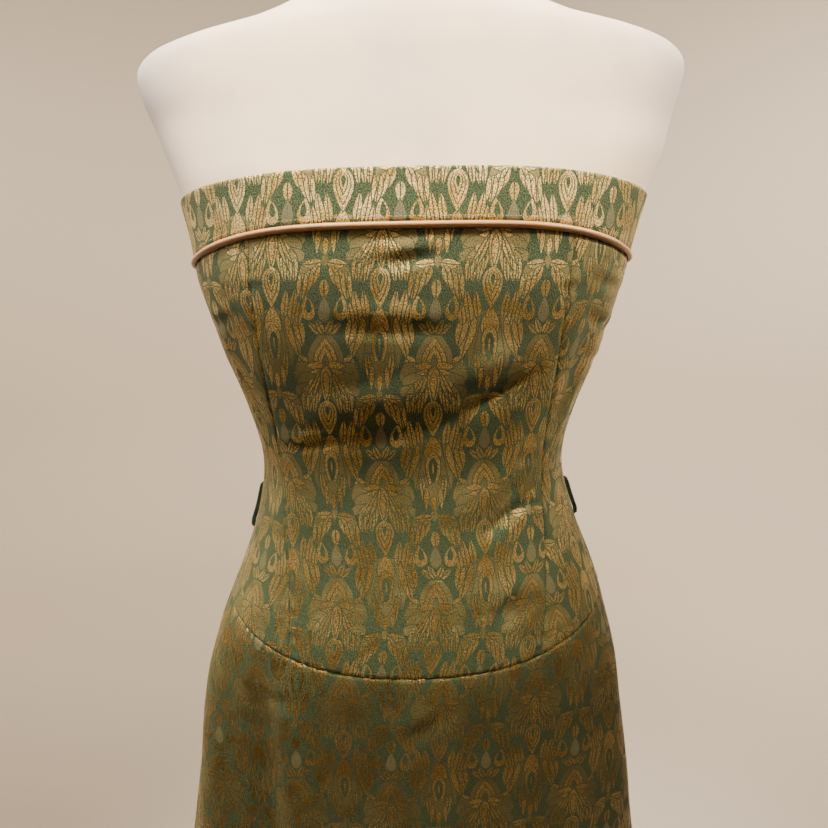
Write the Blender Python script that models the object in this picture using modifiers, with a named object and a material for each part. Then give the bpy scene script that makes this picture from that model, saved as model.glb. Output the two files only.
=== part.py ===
"""A strapless brocade dress standing on a limbless dress form.

Metres, +Z up. The dress faces -Y, +X is the wearer's left, and the origin is the middle of the
stand's flat underside. Each cut piece of the dress is a hollow wall of cloth, lofted through rings
that follow the body's sections, and it stops short of its neighbours at the seams. An azimuth is
the angle round the body from the middle of the front, growing toward +X.
"""
import math
from collections import namedtuple

import bmesh
import bpy
from mathutils import Matrix, Vector

CLOTH = 0.0018
SEAM_GAP = 0.0003
SIDE = math.radians(90)
BACK_MIDDLE = math.radians(180)

# The outside of the dress at one height: half its width, and how far its front and back stand off
# the pole's axis. square is the power of the front half's outline, where 2 is a plain ellipse, and
# sway is how far the section's middle sits toward the wearer's left.
Section = namedtuple("Section", "height half_width front back square sway")
BODY = (
    Section(0.460, 0.2400, 0.1180, 0.1500, 2.1, 0.0),
    Section(0.560, 0.2250, 0.1085, 0.1400, 2.1, 0.0),
    Section(0.660, 0.2105, 0.1020, 0.1300, 2.2, -0.0010),
    Section(0.740, 0.1990, 0.1015, 0.1230, 2.3, 0.0),
    Section(0.820, 0.1850, 0.1045, 0.1180, 2.4, -0.0015),
    Section(0.877, 0.1720, 0.1050, 0.1130, 2.5, 0.0),
    Section(0.935, 0.1505, 0.0995, 0.0950, 2.6, 0.0030),
    Section(0.985, 0.1320, 0.0955, 0.0810, 2.6, 0.0014),
    Section(1.030, 0.1236, 0.0945, 0.0770, 2.6, -0.0011),
    Section(1.075, 0.1320, 0.1015, 0.0820, 2.7, -0.0025),
    Section(1.120, 0.1480, 0.1100, 0.0880, 2.8, -0.0030),
    Section(1.168, 0.1630, 0.1150, 0.0940, 2.8, -0.0028),
    Section(1.205, 0.1710, 0.1130, 0.0950, 2.7, -0.0015),
    Section(1.250, 0.1840, 0.1080, 0.0920, 2.6, -0.0010),
)
BACK_SQUARE = 2.25

# The dress form's own sections, below the hips and above the band. Between them it follows the
# inside of the dress.
FORM_LOWER = (
    Section(0.752, 0.1500, 0.0740, 0.0880, 2.2, 0.0),
    Section(0.764, 0.1600, 0.0800, 0.0960, 2.3, 0.0),
    Section(0.820, 0.1655, 0.0815, 0.1050, 2.4, 0.0),
)
FORM_UPPER = (
    Section(1.262, 0.1890, 0.1015, 0.0925, 2.4, 0.0),
    Section(1.286, 0.1970, 0.0960, 0.0945, 2.2, -0.0012),
    Section(1.310, 0.2055, 0.0900, 0.0945, 2.1, -0.0024),
    Section(1.328, 0.2080, 0.0855, 0.0925, 2.0, -0.0028),
    Section(1.340, 0.1980, 0.0815, 0.0900, 2.0, -0.0028),
    Section(1.348, 0.1760, 0.0785, 0.0870, 2.0, -0.0020),
    Section(1.357, 0.1350, 0.0740, 0.0820, 2.0, -0.0010),
    Section(1.370, 0.0990, 0.0690, 0.0770, 2.0, 0.0),
    Section(1.388, 0.0740, 0.0640, 0.0690, 2.0, 0.0),
    Section(1.415, 0.0600, 0.0590, 0.0620, 2.0, 0.0),
    Section(1.455, 0.0560, 0.0570, 0.0590, 2.0, 0.0),
    Section(1.490, 0.0560, 0.0570, 0.0590, 2.0, 0.0),
)

# Room between the form and the inside of the cloth: close at the band, which grips it, and loose
# under the stiff front panels.
Room = namedtuple("Room", "height room")
FORM_ROOM = (
    Room(0.880, 0.0045),
    Room(0.935, 0.0045),
    Room(0.985, 0.0045),
    Room(1.030, 0.0050),
    Room(1.075, 0.0055),
    Room(1.120, 0.0060),
    Room(1.168, 0.0050),
    Room(1.200, 0.0015),
    Room(1.236, 0.0008),
)

# Lines cut round the dress. front, side and back are heights, and bend says how late the line
# leaves its middle height on the way from the front to the side.
Line = namedtuple("Line", "front side back bend")
TOP_EDGE = Line(1.2450, 1.2300, 1.2250, 3.4)
PIPING = Line(1.2080, 1.1835, 1.1800, 4.2)
WAIST_SEAM = Line(0.8775, 0.9180, 0.8950, 2.4)
HEM = Line(0.4600, 0.4600, 0.4600, 2.0)
RISE_TO_LEFT = 0.016

# The form's shoulders are a little higher on the wearer's left, growing over a short height.
FORM_RISE_TO_LEFT = 0.020
FORM_RISE_SPAN = 0.060

# The princess seams of the front, as a distance from the middle at each height.
Seam = namedtuple("Seam", "height offset")
PRINCESS = (
    Seam(0.850, 0.0960),
    Seam(0.960, 0.0985),
    Seam(1.030, 0.0985),
    Seam(1.123, 0.1050),
    Seam(1.215, 0.1110),
)

# Pulls across the front of the bodice, from one end to the other, seen from the front.
Crease = namedtuple("Crease", "x1 z1 x2 z2 depth half_width")
BODICE_CREASES = (
    Crease(0.098, 1.115, 0.030, 1.076, 0.0040, 0.016),
    Crease(0.040, 1.078, -0.095, 1.055, 0.0035, 0.017),
    Crease(-0.034, 1.181, 0.028, 1.190, 0.0025, 0.012),
    Crease(-0.080, 1.144, 0.030, 1.145, 0.0020, 0.020),
    Crease(0.094, 1.032, 0.041, 0.978, 0.0030, 0.016),
    Crease(0.099, 0.943, 0.060, 0.916, 0.0020, 0.014),
)

# Long soft folds of the skirt: rise is how far the crest (or, below zero, the valley) stands off
# the plain cone at the hem, and start is its share of that just under the waist seam.
Fold = namedtuple("Fold", "azimuth half_angle rise start")
SKIRT_FOLDS = (
    Fold(-45, 7, 0.0095, 0.35),
    Fold(-54, 7, -0.0085, 0.30),
    Fold(-71, 9, 0.0100, 0.35),
    Fold(-83, 9, -0.0090, 0.30),
    Fold(-20, 14, -0.0040, 0.10),
    Fold(8, 15, 0.0045, 0.05),
    Fold(30, 13, -0.0040, 0.10),
    Fold(60, 9, 0.0070, 0.20),
    Fold(72, 8, 0.0090, 0.35),
    Fold(84, 8, -0.0100, 0.35),
    Fold(101, 12, 0.0090, 0.20),
    Fold(118, 10, -0.0070, 0.15),
    Fold(134, 11, 0.0080, 0.15),
    Fold(152, 12, -0.0060, 0.10),
    Fold(172, 14, 0.0075, 0.10),
    Fold(-102, 11, 0.0085, 0.20),
    Fold(-120, 12, -0.0075, 0.15),
    Fold(-137, 10, 0.0085, 0.15),
    Fold(-160, 12, -0.0060, 0.10),
)

PIPING_RADIUS = 0.0021
PIPING_PROUD = 0.0005

Loop = namedtuple("Loop", "name azimuth top drop")
BELT_LOOPS = (
    Loop("belt_loop_left", 90, 1.004, 0.031),
    Loop("belt_loop_right", -90, 0.999, 0.038),
)
LOOP_RADIUS = 0.0020
LOOP_STAND_OFF = 0.0040
LOOP_SEAT = 0.0012
# The loop's path, as shares of its greatest stand-off and of its drop.
LoopPoint = namedtuple("LoopPoint", "out down")
LOOP_PATH = (
    LoopPoint(0.00, 0.00),
    LoopPoint(0.64, 0.02),
    LoopPoint(0.80, 0.10),
    LoopPoint(0.84, 0.26),
    LoopPoint(0.84, 0.46),
    LoopPoint(0.90, 0.66),
    LoopPoint(1.00, 0.84),
    LoopPoint(0.64, 0.97),
    LoopPoint(0.00, 1.00),
)

CHAIN_HALF_WIDTH = 0.0016
CHAIN_THICKNESS = 0.0014
CHAIN_END_GAP = 0.0030

SLIDER_WIDTH = 0.0056
SLIDER_THICKNESS = 0.0022
SLIDER_HEIGHT = 0.0085
SLIDER_MIDDLE = 1.2160
SLIDER_EAR = 0.0009
SLIDER_PIN_RADIUS = 0.00055
SLIDER_PIN_OUT = 0.0019
PULL_EYE_RADIUS = 0.0012
PULL_BORE_RADIUS = 0.00085
PULL_EYE_WIDTH = 0.0022
PULL_LENGTH = 0.0170
PULL_WIDTH = 0.0044
PULL_THICKNESS = 0.0010
PULL_NECK = 0.0035

BASE_RADIUS = 0.180
BASE_EDGE = 0.006
BASE_CROWN = 0.012
HUB_RADIUS = 0.026
HUB_TOP = 0.034
POLE_RADIUS = 0.0135
NECK_CAP_HEIGHT = 0.024

FRONT_COLUMNS = 34
BACK_COLUMNS = 24
BAND_ROWS = 3
BODICE_ROWS = 14
SKIRT_ROWS = 11


def material(name, colour, roughness, metallic=0.0):
    made = bpy.data.materials.new(name)
    made.use_nodes = True
    shader = made.node_tree.nodes["Principled BSDF"]
    shader.inputs["Base Color"].default_value = (*colour, 1.0)
    shader.inputs["Roughness"].default_value = roughness
    shader.inputs["Metallic"].default_value = metallic
    return made


def smooth_between(rows, height):
    """The row at any height, on a cubic whose slope at each row comes from that row's neighbours."""
    height = min(max(height, rows[0].height), rows[-1].height)
    i = 0
    while i < len(rows) - 2 and height > rows[i + 1].height:
        i += 1
    low, high = rows[i], rows[i + 1]
    before, after = rows[max(i - 1, 0)], rows[min(i + 2, len(rows) - 1)]
    span = high.height - low.height
    t = (height - low.height) / span
    values = []
    for p0, p1, p2, p3 in zip(before, low, high, after):
        slope1 = (p2 - p0) / (high.height - before.height) * span
        slope2 = (p3 - p1) / (after.height - low.height) * span
        values.append(
            (2 * t**3 - 3 * t**2 + 1) * p1
            + (t**3 - 2 * t**2 + t) * slope1
            + (3 * t**2 - 2 * t**3) * p2
            + (t**3 - t**2) * slope2
        )
    return type(low)(*values)


def ring_point(section, azimuth):
    """A point of the section's outline and the outline's outward direction there."""
    across, along = math.sin(azimuth), math.cos(azimuth)
    depth, power = (section.front, section.square) if along > 0 else (section.back, BACK_SQUARE)
    reach = (abs(across / section.half_width) ** power + abs(along / depth) ** power) ** (-1 / power)
    x, y = reach * across, -reach * along
    out = Vector((
        math.copysign(abs(x / section.half_width) ** (power - 1) / section.half_width, x),
        math.copysign(abs(y / depth) ** (power - 1) / depth, y),
        0.0,
    ))
    return Vector((x + section.sway, y, section.height)), out.normalized()


def bump(distance):
    """1 in the middle, falling smoothly to 0 at a distance of 1."""
    return (1 - min(distance * distance, 1.0)) ** 2


def crease_relief(x, z):
    """How far the bodice front is pushed in by its creases, with a soft lip above each."""
    total = 0.0
    for crease in BODICE_CREASES:
        run_x, run_z = crease.x2 - crease.x1, crease.z2 - crease.z1
        length = math.hypot(run_x, run_z)
        along = ((x - crease.x1) * run_x + (z - crease.z1) * run_z) / length**2
        across = ((x - crease.x1) * run_z - (z - crease.z1) * run_x) / length
        if run_x > 0:
            across = -across
        fade = bump(2 * along - 1) if 0 < along < 1 else 0.0
        trough = bump(across / crease.half_width)
        lip = 0.5 * bump((across - 1.3 * crease.half_width) / crease.half_width)
        total += crease.depth * fade * (lip - trough)
    return total


def fold_relief(azimuth, height):
    """How far the skirt's folds push it out or in."""
    top = line_height(WAIST_SEAM, azimuth)
    drop = min(max((top - height) / (top - HEM.front), 0.0), 1.0)
    total = 0.0
    for fold in SKIRT_FOLDS:
        away = math.degrees(azimuth) - fold.azimuth
        away = (away + 180) % 360 - 180
        grown = min(drop / 0.12, 1.0) * fold.start + (1 - fold.start) * drop
        total += fold.rise * grown * bump(away / fold.half_angle)
    return total


def line_height(line, azimuth):
    """The height of a line cut round the dress."""
    section = smooth_between(BODY, line.side)
    point, _ = ring_point(section, azimuth)
    if math.cos(azimuth) > 0:
        share = abs(point.x - section.sway) / section.half_width
        height = line.front + (line.side - line.front) * share**line.bend
    else:
        height = line.side + (line.back - line.side) * (point.y / section.back) ** 2
    return height + RISE_TO_LEFT * point.x * (line is not HEM)


def cloth_point(azimuth, height, stand_off=0.0):
    """A point of the dress's outside, moved out by stand_off, and the outward direction."""
    point, out = ring_point(smooth_between(BODY, height), azimuth)
    if height > line_height(WAIST_SEAM, azimuth):
        relief = crease_relief(point.x, height) if math.cos(azimuth) > 0 else 0.0
    else:
        relief = fold_relief(azimuth, height)
    return point + out * (relief + stand_off), out


def princess_azimuth(height):
    """The azimuth where the +X princess seam crosses a height."""
    section = smooth_between(BODY, height)
    offset = smooth_between(PRINCESS, height).offset
    share = offset / section.half_width
    depth = section.front * (1 - share**section.square) ** (1 / section.square)
    return math.atan2(offset, depth)


def wall(name, edges, columns, rows, made_of, start_gap=SEAM_GAP / 2, end_gap=SEAM_GAP / 2):
    """A cut piece: a closed wall between two lines round the dress and two lines down it.

    The edges are low and high, which give a height for an azimuth, and start and end, which give an
    azimuth for a height. The gaps are what the piece stops short by at its start and its end.
    """
    low, high, start, end = edges
    mesh = bmesh.new()
    outer, inner = [], []
    for row in range(rows + 1):
        outer_row, inner_row = [], []
        for column in range(columns + 1):
            height = (low(0.0) + high(0.0)) / 2
            for _ in range(5):
                share = column / columns
                azimuth = start(height) + (end(height) - start(height)) * share
                bottom, top = low(azimuth) + SEAM_GAP / 2, high(azimuth) - SEAM_GAP / 2
                height = bottom + (top - bottom) * row / rows
            reach = cloth_point(azimuth, height)[0].xy.length
            azimuth += (1 - share) * start_gap / reach - share * end_gap / reach
            outside, out = cloth_point(azimuth, height)
            outer_row.append(mesh.verts.new(outside))
            inner_row.append(mesh.verts.new(outside - out * CLOTH))
        outer.append(outer_row)
        inner.append(inner_row)
    for row in range(rows):
        for column in range(columns):
            corners = [(row, column), (row, column + 1), (row + 1, column + 1), (row + 1, column)]
            mesh.faces.new([outer[r][c] for r, c in corners])
            mesh.faces.new([inner[r][c] for r, c in reversed(corners)])
        mesh.faces.new([outer[row][0], outer[row + 1][0], inner[row + 1][0], inner[row][0]])
        mesh.faces.new([inner[row][-1], inner[row + 1][-1], outer[row + 1][-1], outer[row][-1]])
    for column in range(columns):
        mesh.faces.new([inner[0][column], inner[0][column + 1], outer[0][column + 1], outer[0][column]])
        mesh.faces.new([outer[-1][column], outer[-1][column + 1], inner[-1][column + 1], inner[-1][column]])
    return finished(name, mesh, made_of)


def finished(name, mesh, made_of, location=(0.0, 0.0, 0.0)):
    """Turns a bmesh into a named object in the dress's collection."""
    data = bpy.data.meshes.new(name)
    mesh.to_mesh(data)
    mesh.free()
    data.materials.append(made_of)
    data.shade_smooth()
    data.set_sharp_from_angle(angle=math.radians(40))
    made = bpy.data.objects.new(name, data)
    made.location = location
    PARTS.objects.link(made)
    return made


def down(angle):
    """An edge that runs straight down the dress."""
    return lambda height: angle


def round_at(cut, shift=0.0):
    """An edge that follows a line cut round the dress."""
    return lambda azimuth: line_height(cut, azimuth) + shift


def princess_left(height):
    return princess_azimuth(height)


def princess_right(height):
    return -princess_azimuth(height)


def make_dress_panels(brocade):
    """Band, bodice and skirt."""
    beside_piping = PIPING_RADIUS + SEAM_GAP / 2
    band = (round_at(PIPING, beside_piping), round_at(TOP_EDGE))
    bodice = (round_at(WAIST_SEAM), round_at(PIPING, -beside_piping))
    skirt = (round_at(HEM), round_at(WAIST_SEAM))
    front = (down(-SIDE), down(SIDE))
    back_left = (down(SIDE), down(BACK_MIDDLE))
    back_right = (down(-BACK_MIDDLE), down(-SIDE))
    whole_back = (down(SIDE), down(BACK_MIDDLE + SIDE))
    half_back = BACK_COLUMNS // 2
    zip_gap = CHAIN_HALF_WIDTH + SEAM_GAP

    wall("band_front", (*band, *front), FRONT_COLUMNS, BAND_ROWS, brocade)
    wall("band_back_left", (*band, *back_left), half_back, BAND_ROWS, brocade, end_gap=zip_gap)
    wall("band_back_right", (*band, *back_right), half_back, BAND_ROWS, brocade, start_gap=zip_gap)
    wall("bodice_front", (*bodice, princess_right, princess_left), 14, BODICE_ROWS, brocade)
    wall("bodice_side_left", (*bodice, princess_left, down(SIDE)), 7, BODICE_ROWS, brocade)
    wall("bodice_side_right", (*bodice, down(-SIDE), princess_right), 7, BODICE_ROWS, brocade)
    wall("bodice_back_left", (*bodice, *back_left), 10, BODICE_ROWS, brocade, end_gap=zip_gap)
    wall("bodice_back_right", (*bodice, *back_right), 10, BODICE_ROWS, brocade, start_gap=zip_gap)
    wall("skirt_front", (*skirt, *front), 40, SKIRT_ROWS, brocade)
    wall("skirt_back", (*skirt, *whole_back), 30, SKIRT_ROWS, brocade)


def tube(name, points, radius, made_of):
    """A cord along points: a curve with a round bevel and closed ends."""
    data = bpy.data.curves.new(name, "CURVE")
    data.dimensions = "3D"
    data.bevel_depth = radius
    data.bevel_resolution = 2
    data.use_fill_caps = True
    spline = data.splines.new("POLY")
    spline.points.add(len(points) - 1)
    for slot, point in zip(spline.points, points):
        slot.co = (*point, 1.0)
    data.materials.append(made_of)
    made = bpy.data.objects.new(name, data)
    PARTS.objects.link(made)
    return made


def make_piping(satin):
    """The cord under the band, from one side of the zip round the front to the other."""
    back_step = SIDE / (BACK_COLUMNS // 2)
    front_step = 2 * SIDE / FRONT_COLUMNS
    azimuths = [-BACK_MIDDLE + back_step * i for i in range(BACK_COLUMNS // 2)]
    azimuths += [-SIDE + front_step * i for i in range(FRONT_COLUMNS)]
    azimuths += [SIDE + back_step * i for i in range(BACK_COLUMNS // 2 + 1)]
    end_reach = cloth_point(BACK_MIDDLE, PIPING.back)[0].xy.length
    trim = (CHAIN_HALF_WIDTH + SEAM_GAP) / end_reach
    azimuths[0] += trim
    azimuths[-1] -= trim
    points = [cloth_point(a, line_height(PIPING, a), PIPING_PROUD)[0] for a in azimuths]
    tube("piping", points, PIPING_RADIUS, satin)


def make_belt_loop(loop, thread):
    """A thread chain that leaves the side seam at the waist, hangs and goes back into it."""
    points = []
    for spot in LOOP_PATH:
        stand_off = LOOP_SEAT + (LOOP_STAND_OFF - LOOP_SEAT) * spot.out
        height = loop.top - loop.drop * spot.down
        points.append(cloth_point(math.radians(loop.azimuth), height, stand_off)[0])
    tube(loop.name, points, LOOP_RADIUS, thread)


def make_zip_chain(nylon):
    """The closed chain between the two back edges: a strip that follows the middle of the back."""
    mesh = bmesh.new()
    low = line_height(WAIST_SEAM, BACK_MIDDLE) + CHAIN_END_GAP
    high = line_height(TOP_EDGE, BACK_MIDDLE) - CHAIN_END_GAP
    steps = 20
    edges = []
    for i in range(steps + 1):
        outside, _ = cloth_point(BACK_MIDDLE, low + (high - low) * i / steps, -SEAM_GAP)
        edges.append([
            mesh.verts.new((outside.x + side * CHAIN_HALF_WIDTH, outside.y, outside.z)) for side in (1, -1)
        ])
    for below, above in zip(edges, edges[1:]):
        mesh.faces.new([below[0], below[1], above[1], above[0]])
    chain = finished("zip_chain", mesh, nylon)
    solid = chain.modifiers.new("thickness", "SOLIDIFY")
    solid.thickness = CHAIN_THICKNESS
    solid.offset = -1.0


def block(size, middle):
    mesh = bmesh.new()
    bmesh.ops.create_cube(mesh, size=1.0)
    bmesh.ops.scale(mesh, vec=size, verts=mesh.verts)
    bmesh.ops.translate(mesh, vec=middle, verts=mesh.verts)
    return mesh


def rod_along_x(radius, length, middle):
    mesh = bmesh.new()
    bmesh.ops.create_cone(
        mesh, cap_ends=True, segments=20, radius1=radius, radius2=radius, depth=length
    )
    bmesh.ops.rotate(mesh, matrix=QUARTER_TURN_Y, verts=mesh.verts)
    bmesh.ops.translate(mesh, vec=middle, verts=mesh.verts)
    return mesh


def cutter(name, mesh, location):
    """A shape that only cuts or joins: it is kept apart from the dress's own pieces."""
    data = bpy.data.meshes.new(name)
    mesh.to_mesh(data)
    mesh.free()
    made = bpy.data.objects.new(name, data)
    made.location = location
    made.hide_render = True
    made.display_type = "WIRE"
    CUTTERS.objects.link(made)
    return made


def combine(target, other, operation):
    step = target.modifiers.new(other.name, "BOOLEAN")
    step.operation = operation
    step.object = other
    step.solver = "EXACT"


def zip_hinge():
    """The middle of the slider's pin, on which the pull tab swings."""
    low_face, _ = cloth_point(BACK_MIDDLE, SLIDER_MIDDLE - SLIDER_HEIGHT / 2, SEAM_GAP + 0.0001)
    return Vector((low_face.x, low_face.y + SLIDER_THICKNESS + SLIDER_PIN_OUT, SLIDER_MIDDLE))


def make_zip_slider(metal):
    """The slider's body with two ears and the pin between them."""
    hinge = zip_hinge()
    sink = 0.0003
    body_middle = -(SLIDER_PIN_OUT + SLIDER_THICKNESS / 2)
    mesh = block((SLIDER_WIDTH, SLIDER_THICKNESS, SLIDER_HEIGHT), (0, body_middle, 0))
    slider = finished("zip_slider", mesh, metal, hinge)
    ear_x = PULL_EYE_WIDTH / 2 + SEAM_GAP + SLIDER_EAR / 2
    ear_depth = SLIDER_PIN_OUT + SLIDER_PIN_RADIUS + 0.0004 + sink
    ear_middle = ear_depth / 2 - SLIDER_PIN_OUT - sink
    for name, side in (("ear_left", 1), ("ear_right", -1)):
        ear = cutter(name, block((SLIDER_EAR, ear_depth, 0.0024), (side * ear_x, ear_middle, 0)), hinge)
        combine(slider, ear, "UNION")
    pin_length = 2 * ear_x
    combine(slider, cutter("pin", rod_along_x(SLIDER_PIN_RADIUS, pin_length, (0, 0, 0)), hinge), "UNION")


def make_zip_pull(metal):
    """The pull tab: an eye round the slider's pin, a neck and a wider tab that hangs down."""
    hinge = zip_hinge()
    pull = finished("zip_pull", rod_along_x(PULL_EYE_RADIUS, PULL_EYE_WIDTH, (0, 0, 0)), metal, hinge)
    overlap = 0.0008
    neck_middle = -(PULL_BORE_RADIUS + PULL_NECK) / 2
    neck_height = PULL_NECK - PULL_BORE_RADIUS + overlap
    neck = cutter("pull_neck", block((PULL_EYE_WIDTH - 0.0002, PULL_THICKNESS, neck_height),
                                     (0, 0, neck_middle - overlap / 2)), hinge)
    combine(pull, neck, "UNION")
    tab = block((PULL_WIDTH, PULL_THICKNESS + 0.0002, PULL_LENGTH - PULL_NECK),
                (0, 0, -(PULL_LENGTH + PULL_NECK) / 2))
    upright = [e for e in tab.edges if abs(e.verts[0].co.y - e.verts[1].co.y) > PULL_THICKNESS / 2]
    bmesh.ops.bevel(tab, geom=upright, offset=0.0014, segments=3, affect="EDGES")
    combine(pull, cutter("pull_tab", tab, hinge), "UNION")
    bore = cutter("pull_bore", rod_along_x(PULL_BORE_RADIUS, 2 * PULL_EYE_WIDTH, (0, 0, 0)), hinge)
    combine(pull, bore, "DIFFERENCE")


def form_sections():
    """The dress form's rows: its own below and above, and the inside of the dress between them."""
    middle = []
    for row in FORM_ROOM:
        outside = smooth_between(BODY, row.height)
        inset = CLOTH + row.room
        middle.append(Section(
            row.height,
            outside.half_width - inset,
            outside.front - inset,
            outside.back - inset,
            outside.square,
            outside.sway,
        ))
    return (*FORM_LOWER, *middle, *FORM_UPPER)


def make_form_torso(jersey):
    """The torso: rings on the same azimuths as the band's columns, closed flat above and below."""
    mesh = bmesh.new()
    front_step, back_step = 2 * SIDE / FRONT_COLUMNS, 2 * SIDE / BACK_COLUMNS
    azimuths = [-SIDE + front_step * i for i in range(FRONT_COLUMNS)]
    azimuths += [SIDE + back_step * i for i in range(BACK_COLUMNS)]
    rings = []
    for section in form_sections():
        above_band = (section.height - FORM_ROOM[-1].height) / FORM_RISE_SPAN
        rise = FORM_RISE_TO_LEFT * min(max(above_band, 0.0), 1.0) * (section.height < FORM_UPPER[-1].height)
        ring = []
        for azimuth in azimuths:
            point, _ = ring_point(section, azimuth)
            ring.append(mesh.verts.new(point + Vector((0.0, 0.0, rise * point.x))))
        rings.append(ring)
    count = len(azimuths)
    for below, above in zip(rings, rings[1:]):
        for i in range(count):
            after = (i + 1) % count
            mesh.faces.new([below[i], below[after], above[after], above[i]])
    mesh.faces.new(reversed(rings[0]))
    mesh.faces.new(rings[-1])
    finished("form_torso", mesh, jersey)


def turned(name, profile, made_of, height=0.0, steps=32):
    """A turned piece: profile is radius and height pairs, from the axis on top to the axis below."""
    mesh = bmesh.new()
    points = [mesh.verts.new((radius, 0.0, up)) for radius, up in profile]
    for above, below in zip(points, points[1:]):
        mesh.edges.new((above, below))
    made = finished(name, mesh, made_of, (0.0, 0.0, height))
    screw = made.modifiers.new("turn", "SCREW")
    screw.steps = steps
    screw.render_steps = steps
    screw.use_merge_vertices = True
    screw.merge_threshold = 0.00001
    return made


def make_stand(cap_material, metal):
    """Neck cap, pole and round base."""
    neck = FORM_UPPER[-1]
    rim = neck.half_width + 0.001
    cap = [(rim * math.sin(math.radians(a)), 0.006 + (NECK_CAP_HEIGHT - 0.006) * math.cos(math.radians(a)))
           for a in (0, 18, 36, 54, 72, 90)]
    turned("form_neck_cap", [*cap, (rim, 0.0), (0.0, 0.0)], cap_material, neck.height + SEAM_GAP)
    base = (
        (0.0, HUB_TOP),
        (HUB_RADIUS - 0.003, HUB_TOP),
        (HUB_RADIUS, HUB_TOP - 0.003),
        (HUB_RADIUS + 0.001, BASE_CROWN + 0.004),
        (HUB_RADIUS + 0.006, BASE_CROWN),
        (BASE_RADIUS - 0.010, BASE_EDGE + 0.002),
        (BASE_RADIUS - 0.002, BASE_EDGE),
        (BASE_RADIUS, BASE_EDGE - 0.002),
        (BASE_RADIUS, 0.0),
        (0.0, 0.0),
    )
    turned("stand_base", base, metal, steps=48)
    foot, head = HUB_TOP + SEAM_GAP, FORM_LOWER[0].height - SEAM_GAP
    mesh = bmesh.new()
    bmesh.ops.create_cone(
        mesh, cap_ends=True, segments=28, radius1=POLE_RADIUS, radius2=POLE_RADIUS, depth=head - foot
    )
    finished("stand_pole", mesh, metal, (0.0, 0.0, (foot + head) / 2))


def clear_scene():
    for thing in list(bpy.data.objects):
        bpy.data.objects.remove(thing, do_unlink=True)


def collection(name):
    made = bpy.data.collections.new(name)
    bpy.context.scene.collection.children.link(made)
    return made


clear_scene()
PARTS = collection("strapless_dress")
CUTTERS = collection("cutters")
QUARTER_TURN_Y = Matrix.Rotation(SIDE, 3, "Y")

make_dress_panels(material("gold_and_green_brocade", (0.26, 0.20, 0.09), 0.45))
make_piping(material("tan_satin", (0.60, 0.42, 0.23), 0.35))
green_thread = material("green_thread", (0.03, 0.05, 0.025), 0.8)
for loop in BELT_LOOPS:
    make_belt_loop(loop, green_thread)
make_zip_chain(material("olive_nylon", (0.10, 0.09, 0.04), 0.5))
brass = material("antique_brass", (0.35, 0.25, 0.11), 0.35, 1.0)
make_zip_slider(brass)
make_zip_pull(brass)
make_form_torso(material("ivory_jersey", (0.82, 0.77, 0.69), 0.85))
painted_steel = material("painted_steel", (0.05, 0.05, 0.05), 0.4, 0.6)
make_stand(material("ivory_cap", (0.78, 0.72, 0.62), 0.7), painted_steel)
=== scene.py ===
"""The looks of a strapless brocade dress on a dress form.

Metres, +Z up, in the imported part's own frame: the dress faces -Y and +X is the wearer's left. Each
cloth piece is a thin closed shell on its solid's form, with the creases that the solid is too
coarse for. An azimuth is the angle round the body from the middle of the front, growing toward +X.
"""

import math
from collections import namedtuple

import bmesh
import bpy
import numpy as np
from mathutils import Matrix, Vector


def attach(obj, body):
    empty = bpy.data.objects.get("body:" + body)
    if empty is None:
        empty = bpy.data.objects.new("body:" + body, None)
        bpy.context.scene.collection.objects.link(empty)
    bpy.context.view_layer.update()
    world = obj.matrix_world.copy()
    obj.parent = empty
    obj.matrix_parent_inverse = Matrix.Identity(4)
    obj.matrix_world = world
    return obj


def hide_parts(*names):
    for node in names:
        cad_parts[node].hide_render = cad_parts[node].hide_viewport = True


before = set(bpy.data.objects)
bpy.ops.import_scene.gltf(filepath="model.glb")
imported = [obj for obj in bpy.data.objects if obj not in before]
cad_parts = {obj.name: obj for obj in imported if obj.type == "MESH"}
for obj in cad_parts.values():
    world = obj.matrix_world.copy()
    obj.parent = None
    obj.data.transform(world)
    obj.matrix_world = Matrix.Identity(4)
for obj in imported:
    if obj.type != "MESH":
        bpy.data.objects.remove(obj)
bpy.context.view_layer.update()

CLOTH = 0.0018
SEAM_GAP = 0.0003
SIDE = math.radians(90)
BACK_MIDDLE = math.radians(180)

# The outside of the dress at one height, as the part's own sections.
Section = namedtuple("Section", "height half_width front back square sway")
BODY = (
    Section(0.460, 0.2400, 0.1180, 0.1500, 2.1, 0.0),
    Section(0.560, 0.2250, 0.1085, 0.1400, 2.1, 0.0),
    Section(0.660, 0.2105, 0.1020, 0.1300, 2.2, -0.0010),
    Section(0.740, 0.1990, 0.1015, 0.1230, 2.3, 0.0),
    Section(0.820, 0.1850, 0.1045, 0.1180, 2.4, -0.0015),
    Section(0.877, 0.1720, 0.1050, 0.1130, 2.5, 0.0),
    Section(0.935, 0.1505, 0.0995, 0.0950, 2.6, 0.0030),
    Section(0.985, 0.1320, 0.0955, 0.0810, 2.6, 0.0014),
    Section(1.030, 0.1236, 0.0945, 0.0770, 2.6, -0.0011),
    Section(1.075, 0.1320, 0.1015, 0.0820, 2.7, -0.0025),
    Section(1.120, 0.1480, 0.1100, 0.0880, 2.8, -0.0030),
    Section(1.168, 0.1630, 0.1150, 0.0940, 2.8, -0.0028),
    Section(1.205, 0.1710, 0.1130, 0.0950, 2.7, -0.0015),
    Section(1.250, 0.1840, 0.1080, 0.0920, 2.6, -0.0010),
)
BACK_SQUARE = 2.25

Line = namedtuple("Line", "front side back bend")
TOP_EDGE = Line(1.2450, 1.2300, 1.2250, 3.4)
PIPING = Line(1.2080, 1.1835, 1.1800, 4.2)
WAIST_SEAM = Line(0.8775, 0.9180, 0.8950, 2.4)
HEM = Line(0.4600, 0.4600, 0.4600, 2.0)
RISE_TO_LEFT = 0.016

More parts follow.
